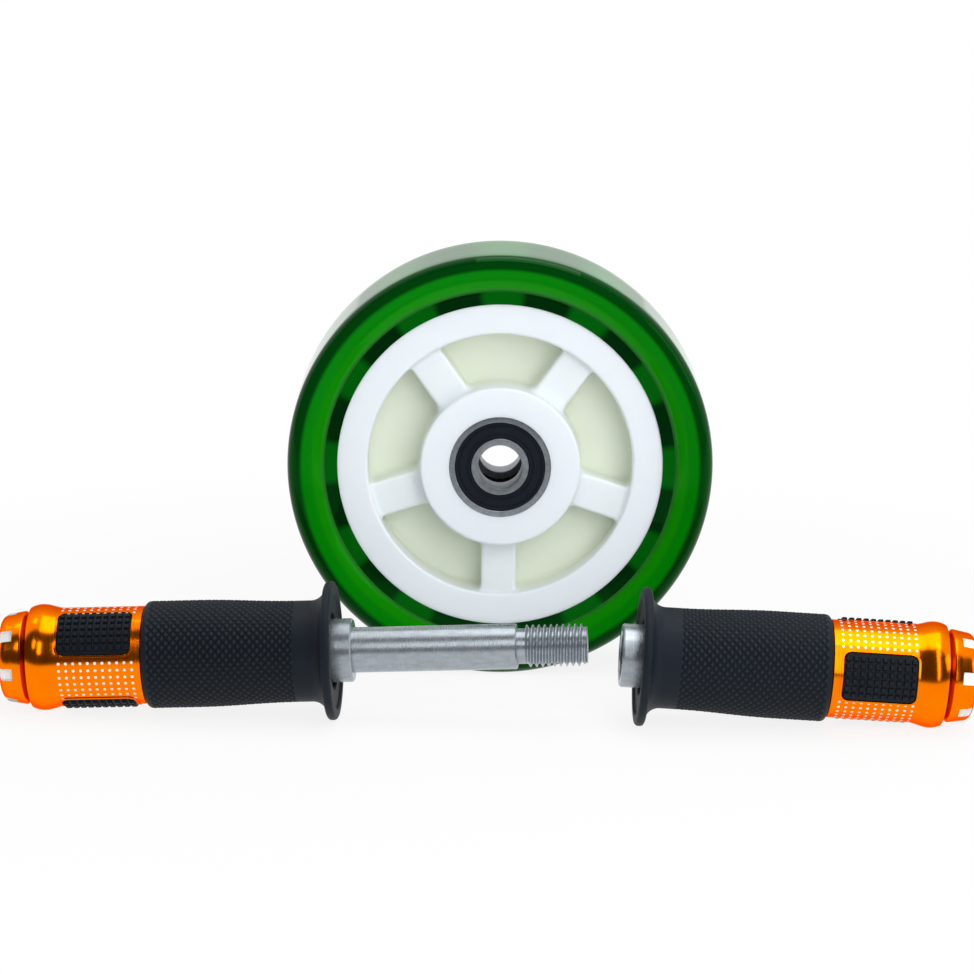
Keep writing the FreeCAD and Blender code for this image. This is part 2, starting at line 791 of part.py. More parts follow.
def lying_placement(across, along, heading, roll):
    """Lays a handle on the floor with its outer end pointing to a heading.

    across and along are where the middle of the flange's face lies in X and Y, heading is the
    direction of the outer end about Z, and roll turns the handle about its own axis.
    """
    tilt = lying_tilt()
    place = vector(across, along, lying_height(tilt) - total("tyre_radius"))
    turn = FreeCAD.Rotation(vector(0, 0, 1), heading)
    turn = turn.multiply(FreeCAD.Rotation(vector(0, 1, 0), tilt))
    turn = turn.multiply(FreeCAD.Rotation(vector(1, 0, 0), roll))
    return FreeCAD.Placement(place, turn)


def build_wheel():
    """Makes the wheel's pieces and stands them on the floor with the axle bore along Y."""
    stand = FreeCAD.Placement(vector(0, 0, 0), FreeCAD.Rotation(vector(0, 0, 1), -90))
    pieces = [make_tyre(), make_hub()]
    for piece in pieces:
        piece.Placement = stand
    about_face = FreeCAD.Rotation(vector(0, 0, 1), 180)
    for side, turn in (("front", FreeCAD.Rotation()), ("rear", about_face)):
        prefix = side + "_bearing_"
        seat = FreeCAD.Placement(turn.multVec(vector(total("bearing_middle"), 0, 0)), turn)
        bearing = [
            make_outer_ring(prefix + "outer_ring"),
            make_inner_ring(prefix + "inner_ring"),
            make_balls(prefix + "balls"),
            make_cage(prefix + "cage"),
            make_seal(prefix + "outer_seal"),
            make_seal(prefix + "inner_seal"),
        ]
        for piece in bearing:
            piece.Placement = stand.multiply(seat)
        bearing[-1].Placement = stand.multiply(seat).multiply(FreeCAD.Placement(vector(0, 0, 0), about_face))
        pieces += bearing
    return pieces


def build_handle(name, mouth, shoulder):
    """Makes the pieces that both handles have, core first and end cap last."""
    return [
        make_core(name + "_core", mouth, shoulder),
        make_grip(name + "_grip"),
        make_barrel(name + "_barrel"),
        make_pads(name + "_pads"),
        make_cap(name + "_cap"),
    ]


def build_handles():
    """Makes both handles and lays them in front of the wheel, axle towards nut."""
    front = -total("tyre_half + handle_gap + flange_radius")
    axle_place = lying_placement(
        -total("axle_handle_left"), front, 180 - total("axle_handle_yaw"), total("axle_handle_roll"))
    axle_pieces = [make_axle()] + build_handle("axle_handle", "root_radius", "axle_root_length - core_lead")
    tip = axle_place.multVec(vector(-total("axle_tip"), 0, 0))
    nut_place = lying_placement(
        tip.x + total("nut_handle_gap + core_lead"),
        front - total("nut_handle_forward"),
        total("nut_handle_yaw"),
        total("nut_handle_roll"),
    )
    nut_pieces = [make_bush("nut_handle_bush")] + build_handle("nut_handle", "core_bore_radius", "bush_start")
    for placement, group, turn in (
        (axle_place, axle_pieces, "axle_cap_turn"),
        (nut_place, nut_pieces, "nut_cap_turn"),
    ):
        for piece in group:
            piece.Placement = placement
        cap_turn = FreeCAD.Rotation(vector(1, 0, 0), total(turn))
        group[-1].Placement = placement.multiply(FreeCAD.Placement(vector(0, 0, 0), cap_turn))
    for name, placement in (("axle handle", axle_place), ("nut handle", nut_place)):
        outwards = placement.Rotation.multVec(vector(1, 0, 0))
        print(name, "flange face at", tuple(placement.Base), "outwards", tuple(outwards))
    return axle_pieces + nut_pieces


def check_document():
    """Stops if any object of the document failed."""
    for item in doc.Objects:
        if "Invalid" in item.State or "Error" in item.State:
            raise RuntimeError("%s failed: %s" % (item.Label, item.State))


def main():
    """Builds every piece, checks it and writes one STEP file for each."""
    fill_sheet()
    pieces = build_wheel() + build_handles()
    doc.recompute()
    check_document()
    for piece in pieces:
        if piece.Shape.isNull() or not piece.Shape.isValid():
            raise RuntimeError("%s has no valid shape" % piece.Label)
    os.makedirs("parts", exist_ok=True)
    for piece in pieces:
        piece.Shape.exportStep("parts/%s.step" % piece.Label)
        print("%-28s solids %d  volume %.1f mm3" % (piece.Label, len(piece.Shape.Solids), piece.Shape.Volume))


main()
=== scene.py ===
"""Looks of an ab wheel roller that lies taken apart, its wheel standing behind its two handles.

A round piece is drawn as its half section, in millimetres along its own X axis, and spun as on a lathe.
Studs, dots, windows and notches are modelled once and repeated about that axis. Each finished piece is
then turned into its place in the frame, in metres, and rides on its CAD body.
"""
import json
import logging
import math
from collections.abc import Callable
from dataclasses import dataclass, field
from enum import Enum

import bpy
from bpy.types import Material, Node, NodeSocket, NodeTree, Object
from mathutils import Matrix, Vector

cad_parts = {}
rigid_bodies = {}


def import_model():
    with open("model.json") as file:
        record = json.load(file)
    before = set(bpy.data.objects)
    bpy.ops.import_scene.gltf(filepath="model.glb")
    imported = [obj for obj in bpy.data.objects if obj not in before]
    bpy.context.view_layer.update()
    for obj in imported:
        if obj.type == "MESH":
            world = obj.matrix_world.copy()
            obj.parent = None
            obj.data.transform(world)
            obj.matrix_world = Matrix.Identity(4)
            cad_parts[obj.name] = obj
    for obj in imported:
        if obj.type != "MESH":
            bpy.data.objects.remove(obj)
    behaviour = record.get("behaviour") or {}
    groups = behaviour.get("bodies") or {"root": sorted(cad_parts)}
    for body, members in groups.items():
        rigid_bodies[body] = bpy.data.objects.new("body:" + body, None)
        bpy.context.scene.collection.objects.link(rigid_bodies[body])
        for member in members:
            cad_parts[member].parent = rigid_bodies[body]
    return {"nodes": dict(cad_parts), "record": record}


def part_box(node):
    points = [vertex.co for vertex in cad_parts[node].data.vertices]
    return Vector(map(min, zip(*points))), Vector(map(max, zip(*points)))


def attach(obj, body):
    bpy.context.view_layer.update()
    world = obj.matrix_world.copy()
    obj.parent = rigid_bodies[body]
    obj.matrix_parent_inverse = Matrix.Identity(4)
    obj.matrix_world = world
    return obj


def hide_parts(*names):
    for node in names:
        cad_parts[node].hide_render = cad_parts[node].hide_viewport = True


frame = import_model()

LOG = logging.getLogger("ab_wheel_roller")
MM = 0.001
TURN = math.tau
RELIEF = "relief"
WELD = 0.0005
NEAR = 0.01
SHARP = 32.0
SMOOTH = {"interpolation_type": "SMOOTHSTEP"}
COLOURS = {"data_type": "RGBA"}
FLOATS = {"data_type": "FLOAT"}

Place = tuple[float, float, float]


def linear(code: str) -> tuple[float, float, float, float]:
    """Turns an sRGB colour into linear light.

    Args:
        code: Six hex digits.

    Returns:
        Red, green, blue and an alpha of one.
    """
    shares = [int(code[place:place + 2], 16) / 255 for place in (0, 2, 4)]
    light = [s / 12.92 if s <= 0.04045 else ((s + 0.055) / 1.055) ** 2.4 for s in shares]
    return (*light, 1.0)


def plug(node: Node, inputs: dict) -> None:
    """Sets or links a node's inputs.

    Args:
        node: The node.
        inputs: Values, or sockets to link, by the input's name or number.
    """
    for name, value in inputs.items():
        if isinstance(value, NodeSocket):
            node.id_data.links.new(value, node.inputs[name])
        else:
            node.inputs[name].default_value = value


def add_node(tree: NodeTree, kind: str, settings: dict | None = None, inputs: dict | None = None,
             output: int | str = 0) -> NodeSocket:
    """Adds a node to a tree with its settings and links.

    Args:
        tree: The node tree that the node joins.
        kind: The node's type, without the ShaderNode that begins it.
        settings: Values of the node's own properties.
        inputs: Values, or sockets to link, by the input's name or number.
        output: The name or number of the output that is wanted.

    Returns:
        The output's socket.
    """
    node = tree.nodes.new("ShaderNode" + kind)
    for name, value in (settings or {}).items():
        setattr(node, name, value)
    plug(node, inputs or {})
    return node.outputs[output]


# Finishes

@dataclass(frozen=True)
class Finish:
    """A material with its base colour, its gloss, and the axis that its pattern follows."""

    name: str
    colour: str
    roughness: float = 0.5
    metallic: float = 0.0
    axis: Matrix = field(default_factory=lambda: Matrix.Identity(4))

    def material(self) -> Material:
        """Gives the finish as a material, made the first time it is asked for.

        Returns:
            The material.
        """
        made = bpy.data.materials.get(self.name)
        if made is None:
            made = bpy.data.materials.new(self.name)
            made.use_nodes = True
            made.diffuse_color = linear(self.colour)
            shader = made.node_tree.nodes["Principled BSDF"]
            plug(shader, {
                "Base Color": linear(self.colour), "Roughness": self.roughness, "Metallic": self.metallic})
            self.paint(shader)
        return made

    def paint(self, shader: Node) -> None:
        """Adds what the surface shows beyond one colour."""

    def millimetres(self, shader: Node) -> NodeSocket:
        """Gives a point's place along and across the finish's axis, in millimetres.

        Args:
            shader: The surface shader, whose tree the nodes join.

        Returns:
            The socket that holds the place.
        """
        inward = self.axis.inverted()
        return add_node(shader.id_data, "Mapping", None, {
            "Vector": add_node(shader.id_data, "TexCoord", output="Object"),
            "Location": inward.translation / MM,
            "Rotation": inward.to_euler(),
            "Scale": (1 / MM, 1 / MM, 1 / MM),
        })

    def grain(self, shader: Node, size: Place, detail: float = 2.0) -> NodeSocket:
        """Gives an even grain, longer one way where its sizes differ.

        Args:
            shader: The surface shader, whose tree the nodes join.
            size: The grain's size along and across the axis, in millimetres.
            detail: How many finer layers the grain has.

        Returns:
            The socket that holds the grain, from 0 to 1.
        """
        fitted = add_node(shader.id_data, "VectorMath", {"operation": "DIVIDE"}, {
            0: self.millimetres(shader), 1: size})
        return add_node(shader.id_data, "TexNoise", None, {
            "Vector": fitted, "Scale": 1.0, "Detail": detail, "Roughness": 0.55})

    def roughen(self, shader: Node, grain: NodeSocket, less: float, more: float) -> None:
        """Lets the roughness follow a grain.

        Args:
            shader: The surface shader.
            grain: The grain, from 0 to 1.
            less: How much smoother its low spots are.
            more: How much rougher its high spots are.
        """
        low, high = 0.3, 0.7
        plug(shader, {"Roughness": add_node(shader.id_data, "MapRange", None, {
            "Value": grain, "From Min": low, "From Max": high,
            "To Min": self.roughness - less, "To Max": self.roughness + more})})

    def emboss(self, shader: Node, grain: NodeSocket, height: float, strength: float) -> None:
        """Raises the surface by a grain.

        Args:
            shader: The surface shader.
            grain: The grain, from 0 to 1.
            height: The grain's height, in millimetres.
            strength: How much of it the light shows.
        """
        plug(shader, {"Normal": add_node(shader.id_data, "Bump", None, {
            "Height": grain, "Distance": height * MM, "Strength": strength})})

    def shade(self, shader: Node, grain: NodeSocket, second: str) -> None:
        """Lets the colour drift to a second one with a grain.

        Args:
            shader: The surface shader.
            grain: The grain, from 0 to 1.
            second: The colour at its high spots.
        """
        low, high = 0.35, 0.65
        share = add_node(shader.id_data, "MapRange", None, {
            "Value": grain, "From Min": low, "From Max": high})
        plug(shader, {"Base Color": add_node(shader.id_data, "Mix", COLOURS, {
            0: share, 6: linear(self.colour), 7: linear(second)}, 2)})


class CastPolyurethane(Finish):
    """Clear green cast polyurethane: wet gloss, with the light going in and coming back from the hub.

    The lugs of the hub are painted lighter green below the tyre's lip, and faintly on the tread, with
    painted shade between them. The light that the lip and the shoulder send round the ring is painted as
    lighter and darker bands.
    """

    def paint(self, shader: Node) -> None:
        """Paints light and shade on the ring by its radius and by the lugs behind it."""
        tree = shader.id_data
        lugs, lug_share = 12, 0.225
        # painted lugs: lighter green where a lug lies behind the tyre, painted shade in the gaps between
        # them
        crisp, faint = (0.05, 0.06, "03640e", "022a0a"), (0.17, 0.17, "1c9a3a", "0a7424")
        flat = add_node(tree, "VectorMath", {"operation": "MULTIPLY"}, {
            0: self.millimetres(shader), 1: (0, 1, 1)})
        radius = add_node(tree, "VectorMath", {"operation": "LENGTH"}, {0: flat}, "Value")
        across = add_node(tree, "SeparateXYZ", None, {0: flat}).node.outputs
        angle = add_node(tree, "Math", {"operation": "ARCTAN2"}, {0: across[1], 1: across[2]})
        count = add_node(tree, "Math", {"operation": "MULTIPLY"}, {0: angle, 1: lugs / TURN})
        saw = add_node(tree, "Math", {"operation": "PINGPONG"}, {0: count, 1: 0.5})
        patterns = []
        for before, after, lug, gap in (crisp, faint):
            share = add_node(tree, "MapRange", SMOOTH, {
                "Value": saw, "From Min": lug_share - before, "From Max": lug_share + after})
            patterns.append(add_node(tree, "Mix", COLOURS, {0: share, 6: linear(lug), 7: linear(gap)}, 2))
        colour, tread = patterns
        # painted bands by radius: a pale painted highlight line at the lip, lighter painted rings, a dark
        # band of painted shade under the shoulder, and the faint painted lugs on the tread
        painted_bands = [
            (60.0, 60.5, linear("2a7a26")),
            (60.8, 61.4, linear("149606")),
            (63.5, 65.5, linear("058a08")),
            (67.4, 69.2, linear("023d0d")),
            (72.75, 72.98, tread),
        ]
        for start, end, band in painted_bands:
            share = add_node(tree, "MapRange", SMOOTH, {"Value": radius, "From Min": start, "From Max": end})
            colour = add_node(tree, "Mix", COLOURS, {0: share, 6: colour, 7: band}, 2)
        self.roughen(shader, self.grain(shader, (6, 6, 6)), 0.02, 0.02)
        plug(shader, {
            "Base Color": colour, "Transmission Weight": 0.3, "Specular Tint": linear("2c9a38")})


class MouldedNylon(Finish):
    """White moulded nylon: waxy and a little deep, with painted shade and a painted green glow from the tyre
    in its pockets.
    """

    def paint(self, shader: Node) -> None:
        """Paints shade and the tyre's green glow into the pockets, and gives the walls a moulded surface."""
        tree = shader.id_data
        pocket_floor, pocket_mouth = 3.0, 16.5
        # painted shade and glow: the colour turns greener and darker towards the pocket floors near the
        # middle plane
        across = add_node(tree, "SeparateXYZ", None, {0: self.millimetres(shader)})
        depth = add_node(tree, "Math", {"operation": "ABSOLUTE"}, {0: across})
        share = add_node(tree, "MapRange", SMOOTH, {
            "Value": depth, "From Min": pocket_floor, "From Max": pocket_mouth})
        colour = add_node(tree, "Mix", COLOURS, {0: share, 6: linear("e6ecdd"), 7: linear(self.colour)}, 2)
        grain = self.grain(shader, (0.9, 0.9, 0.9))
        self.roughen(shader, grain, 0.06, 0.06)
        self.emboss(shader, grain, 0.02, 0.35)
        plug(shader, {
            "Base Color": colour,
            "Subsurface Weight": 0.4,
            "Subsurface Radius": (5 * MM, 5 * MM, 4.2 * MM),
            "Subsurface Scale": 1.0,
        })


class MouldedRubber(Finish):
    """Black moulded rubber: nearly no gloss, with a painted highlight on the knurl's tops and painted shade
    in its grooves.
    """

    def paint(self, shader: Node) -> None:
        """Paints highlight and shade on the rubber by its relief, and gives it a fine matt grain."""
        tree = shader.id_data
        relief = add_node(tree, "Attribute", {"attribute_name": RELIEF}, output="Fac")
        colour = add_node(tree, "Mix", COLOURS, {
            0: self.grain(shader, (5, 5, 5), 4), 6: linear(self.colour), 7: linear("131b25")}, 2)
        # painted shade: darker down in the knurl's grooves; painted highlight: lighter on its crowns
        for reach, code in ((-1.0, "05080c"), (1.0, "1f2a36")):
            share = add_node(tree, "MapRange", None, {"Value": relief, "From Max": reach})
            colour = add_node(tree, "Mix", COLOURS, {0: share, 6: colour, 7: linear(code)}, 2)
        fine = self.grain(shader, (0.35, 0.35, 0.35))
        self.roughen(shader, fine, 0.08, 0.08)
        self.emboss(shader, fine, 0.03, 0.5)
        plug(shader, {"Base Color": colour, "Specular IOR Level": 0.2})


class TurnedSteel(Finish):
    """Bright turned steel: fine tool marks run round it, so its light stretches along the bar."""

    def paint(self, shader: Node) -> None:
        """Gives the bar its turning marks, drawn coarser than a real cut so that they show."""
        marks = self.grain(shader, (0.3, 14, 14), 3)
        self.roughen(shader, marks, 0.04, 0.04)
        self.shade(shader, self.grain(shader, (4, 1.5, 1.5), 4), "949ca3")
        self.emboss(shader, marks, 0.006, 0.12)


class AnodisedAluminium(Finish):
    """Orange anodised aluminium: dye in a thin skin over turned metal, so even its edges mirror orange."""

    def paint(self, shader: Node) -> None:
        """Gives the skin the faint rings of the turning under it, and painted shade in the joint groove
        before the cap.
        """
        tree = shader.id_data
        joint, joint_half, joint_edge = 102.6, 0.5, 0.9
        self.roughen(shader, self.grain(shader, (0.3, 18, 18), 3), 0.04, 0.05)
        drift = add_node(tree, "Mix", COLOURS, {
            0: self.grain(shader, (7, 7, 7), 3), 6: linear(self.colour), 7: linear("ff7400")}, 2)
        # painted shade: the colour turns darker orange in the joint groove before the cap, for its shadow
        # and dark reflection
        along = add_node(tree, "SeparateXYZ", None, {0: self.millimetres(shader)})
        away = add_node(tree, "Math", {"operation": "SUBTRACT"}, {0: along, 1: joint})
        distance = add_node(tree, "Math", {"operation": "ABSOLUTE"}, {0: away})
        share = add_node(tree, "MapRange", SMOOTH, {
            "Value": distance, "From Min": joint_half, "From Max": joint_edge})
        colour = add_node(tree, "Mix", COLOURS, {0: share, 6: linear("d46400"), 7: drift}, 2)
        plug(shader, {"Base Color": colour, "Specular Tint": linear("ff9a30")})


class CutAluminium(Finish):
    """Bare aluminium where a cutter went through the dye: bright, with short streaks."""

    def paint(self, shader: Node) -> None:
        """Gives the cut its streaks, drawn coarser than a real cut so that they show."""
        streaks = self.grain(shader, (1.6, 0.25, 0.25))
        self.roughen(shader, streaks, 0.08, 0.1)
        self.shade(shader, streaks, "d9d4cc")


# Modelling

def ease(share: float) -> float:
    """Gives the rise of a soft S, level at both ends, at a share of its way."""
    return (1 - math.cos(math.pi * share)) / 2


def select_only(piece: Object) -> None:
    """Selects one object and makes it the active one.

    Args:
        piece: The object.
    """
    bpy.ops.object.select_all(action="DESELECT")
    piece.select_set(True)
    bpy.context.view_layer.objects.active = piece


def start_mesh(add: Callable[..., set[str]], name: str, **shape: float | str) -> Object:
    """Adds a primitive and opens it in edit mode, all of it selected.

    Args:
        add: The operator that adds it.
        name: The piece's name.
        shape: The operator's own settings.

    Returns:
        The object.
    """
    bpy.ops.object.select_all(action="DESELECT")
    add(**shape)
    piece = bpy.context.active_object
    piece.name = piece.data.name = name
    bpy.ops.object.mode_set(mode="EDIT")
    bpy.ops.mesh.select_all(action="SELECT")
    return piece


def close_mesh(piece: Object, sharp: float = SHARP) -> None:
    """Merges doubles, turns the faces outwards, and smooths all but the sharp edges.

    Args:
        piece: The object, in edit mode.
        sharp: Faces that meet at more degrees than this keep a crisp edge.
    """
    bpy.ops.mesh.select_all(action="SELECT")
    bpy.ops.mesh.remove_doubles(threshold=WELD)
    bpy.ops.mesh.normals_make_consistent(inside=False)
    bpy.ops.object.mode_set(mode="OBJECT")
    select_only(piece)
    bpy.ops.object.shade_smooth_by_angle(angle=math.radians(sharp))


class Section:
    """The half section of a turned piece, drawn from point to point in millimetres."""

    def __init__(self, along: float, radius: float) -> None:
        """Starts the section at a point."""
        self.points = [(along, radius)]

    def to(self, along: float, radius: float, rows: int = 1, soft: bool = False) -> "Section":
        """Goes to a point, straight or in a soft S that is level at both ends.

        Args:
            along: The point's place along the axis.
            radius: Its height over the axis.
            rows: How many steps the way is cut in.
            soft: True for the S.

        Returns:
            The section, to be drawn on.
        """
        x, r = self.points[-1]
        for row in range(1, rows + 1):
            share = row / rows
            rise = ease(share) if soft else share
            self.points.append((x + (along - x) * share, r + (radius - r) * rise))
        return self

    def arc(self, along: float, radius: float, centre: tuple[float, float], steps: int) -> "Section":
        """Goes round a centre to a point, the short way.

        Args:
            along: The point's place along the axis.
            radius: Its height over the axis.
            centre: The arc's centre, along and over the axis.
            steps: How many chords the arc has.

        Returns:
            The section, to be drawn on.
        """
        middle = Vector(centre)
        start = Vector(self.points[-1]) - middle
        end = Vector((along, radius)) - middle
        sweep = math.atan2(start.x * end.y - start.y * end.x, start.dot(end))
        for step in range(1, steps + 1):
            turned = Matrix.Rotation(sweep * step / steps, 2) @ start
            self.points.append(tuple(middle + turned))
        return self

    def mirrored(self) -> "Section":
        """Goes on through the mirror image of the points so far, on the other side of their origin."""
        self.points += [(-along, radius) for along, radius in reversed(self.points) if along]
        return self

    def spun(self, name: str, sides: int, closed: bool = True) -> Object:
        """Spins the section into a solid about the X axis.

        Args:
            name: The piece's name.
            sides: How many steps the turn has.
            closed: True for a ring, whose section comes back to its first point.

        Returns:
            The object, in object mode.
        """
        along, radius = self.points[0]
        piece = start_mesh(bpy.ops.mesh.primitive_plane_add, name, size=1)
        bpy.ops.mesh.select_mode(type="VERT")
        bpy.ops.mesh.select_all(action="SELECT")
        bpy.ops.mesh.merge(type="CENTER")
        bpy.ops.transform.translate(value=(along, 0, radius))
        route = self.points + self.points[:1] if closed else self.points
        for before, after in zip(route, route[1:]):
            step = (after[0] - before[0], 0, after[1] - before[1])
            bpy.ops.mesh.extrude_vertices_move(TRANSFORM_OT_translate={"value": step})
        bpy.ops.mesh.select_all(action="SELECT")
        bpy.ops.mesh.remove_doubles(threshold=WELD)
        bpy.ops.mesh.select_all(action="SELECT")
        bpy.ops.mesh.spin(steps=sides, angle=TURN, center=(0, 0, 0), axis=(1, 0, 0))
        close_mesh(piece)
        return piece


def carve(piece: Object, cut_at: Callable[[float, float, float], tuple[float, float]]) -> None:
    """Moves a turned piece's points in or out, as a knurl or a thread is cut, and marks the relief.

    Args:
        piece: The object, turned about the X axis.
        cut_at: Gives a point's new radius and its relief, from -1 in a groove to 1 on a crown, from its
            place along, its radius and its angle in turns.
    """
    relief = piece.data.attributes.new(RELIEF, "FLOAT", "POINT")
    for point in piece.data.vertices:
        along, y, z = point.co
        radius = math.hypot(y, z)
        if radius > 0:
            new, relief.data[point.index].value = cut_at(along, radius, math.atan2(y, z) / TURN)
            point.co = (along, y * new / radius, z * new / radius)
    piece.data.update()


def wrap(piece: Object, radius: float) -> None:
    """Rolls a flat piece about the X axis, its height becoming its distance from that axis.

    Args:
        piece: The object, flat, with its width along Y.
        radius: The radius at which its width keeps its length.
    """
    for point in piece.data.vertices:
        along, width, height = point.co
        angle = width / radius
        point.co = (along, height * math.sin(angle), height * math.cos(angle))
    piece.data.update()


def join(pieces: list[Object]) -> Object:
    """Joins several objects into the first.

    Args:
        pieces: The objects.

    Returns:
        The joined object.
    """
    select_only(pieces[0])
    for piece in pieces:
        piece.select_set(True)
    bpy.ops.object.join()
    return pieces[0]


def repeat_round(piece: Object, count: int, start: float = 0.0) -> Object:
    """Repeats a piece evenly about the X axis.

    Args:
        piece: The object that is copied.
        count: How many there are in the end.
        start: The first one's turn, in radians.

    Returns:
        One object that holds them all.
    """
    copies = [piece]
    for _ in range(1, count):
        select_only(piece)
        bpy.ops.object.duplicate()
        copies.append(bpy.context.active_object)
    for number, copy in enumerate(copies):
        copy.matrix_world = Matrix.Rotation(start + TURN * number / count, 4, "X")
        select_only(copy)
        bpy.ops.object.transform_apply(location=True, rotation=True, scale=True)
    return join(copies)


def repeat_in_rows(piece: Object, columns: int, rows: int, pitch: float) -> None:
    """Repeats a flat piece in a square grid.

    Args:
        piece: The object, at the grid's first place.
        columns: How many there are along X.
        rows: How many there are along Y.
        pitch: The spacing both ways.
    """
    select_only(piece)
    for count, step in ((columns, (pitch, 0, 0)), (rows, (0, pitch, 0))):
        array = piece.modifiers.new("grid", "ARRAY")
        array.count = count
        array.use_relative_offset = False
        array.use_constant_offset = True
        array.constant_offset_displace = step
        bpy.ops.object.modifier_apply(modifier=array.name)


def cut(piece: Object, cutter: Object, sharp: float = SHARP) -> None:
    """Cuts one solid out of another, leaving the cutter's finish on the cut faces.

    Args:
        piece: The object that is cut.
        cutter: The solid that is taken away, which is removed.
        sharp: Faces that meet at more degrees than this keep a crisp edge.
    """
    select_only(piece)
    taken = piece.modifiers.new("cut", "BOOLEAN")
    taken.operation = "DIFFERENCE"
    taken.solver = "EXACT"
    taken.material_mode = "TRANSFER"
    taken.object = cutter
    bpy.ops.object.modifier_apply(modifier=taken.name)
    bpy.data.objects.remove(cutter)
    bpy.ops.object.shade_smooth_by_angle(angle=math.radians(sharp))


def dress(piece: Object, finish: Finish) -> None:
    """Gives an object one finish all over."""
    piece.data.materials.clear()
    piece.data.materials.append(finish.material())


def settle(piece: Object, finish: Finish | None, placement: Matrix, body: str, slot: str,
           *nodes: str) -> None:
    """Turns a finished piece into its place in the frame, on its body.

    Args:
        piece: The object, in millimetres about its own axis.
        finish: Its finish, or None where it is dressed already.
        placement: Where its axis lies in the frame, in metres.
        body: The CAD body that carries it.
        slot: The record's material slot of its finish; not used.
        nodes: The CAD nodes that it stands for.
    """
    if finish:
        dress(piece, finish)
    piece.matrix_world = placement @ Matrix.Scale(MM, 4)
    select_only(piece)
    bpy.ops.object.transform_apply(location=True, rotation=True, scale=True)
    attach(piece, body)
    if nodes:
        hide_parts(*nodes)
    LOG.info("%s rides on %s with %d faces", piece.name, body, len(piece.data.polygons))


# Wheel

class Side(Enum):
    """The wheel's two sides, each with the turn that points the X axis outwards on it."""

    FRONT = -0.25
    REAR = 0.25

    def facing(self) -> Matrix:
        """Gives the turn from the X axis to this side's outward direction."""
        return Matrix.Rotation(self.value * TURN, 4, "Z")


@dataclass
class Wheel:
    """The tyre and the hub that it is cast on."""

    tyre_radius: float = 73.0
    tyre_half: float = 21.0
    shoulder: float = 4.4
    side_round: float = 25.0
    lip_radius: float = 60.5
    lip_half: float = 17.2
    lip_slope: float = 0.6
    rim_radius: float = 56.0
    rim_half: float = 16.0
    bead_rise: float = 0.4
    sunk: float = 0.15

    def side_centre(self) -> tuple[float, float]:
        """Gives the centre of the tyre's domed side, from its two ends and its radius.

        Returns:
            The centre, along and over the axis.
        """
        low = Vector((self.lip_half, self.lip_radius + self.lip_slope))
        high = Vector((self.tyre_half, self.tyre_radius - self.shoulder))
        chord = high - low
        inward = Vector((-chord.y, chord.x)).normalized()
        rise = math.sqrt(self.side_round ** 2 - chord.length_squared / 4)
        return tuple((low + high) / 2 + inward * rise)

    def build(self) -> None:
        """Models the tyre and dresses the CAD hub."""
        axis = Side.FRONT.facing()
        shoulder_radius = self.tyre_radius - self.shoulder
        tread_half = self.tyre_half - self.shoulder
        bead = self.rim_half + self.bead_rise
        tyre = (
            Section(bead, self.rim_radius - self.sunk)
            .to(bead, self.lip_radius)
            .to(self.lip_half, self.lip_radius + self.lip_slope)
            .arc(self.tyre_half, shoulder_radius, self.side_centre(), 6)
            .arc(tread_half, self.tyre_radius, (tread_half, shoulder_radius), 8)
            .to(0, self.tyre_radius, 3)
            .mirrored()
            .spun("cast_tyre", 256)
        )
        green = CastPolyurethane("Clear green cast polyurethane", "0a8a12", 0.05, axis=axis)
        settle(tyre, green, axis, "wheel", "green_polyurethane", "tyre")
        dress(frame["nodes"]["wheel_hub"], MouldedNylon("White moulded nylon", "e9f0f7", 0.34, axis=axis))


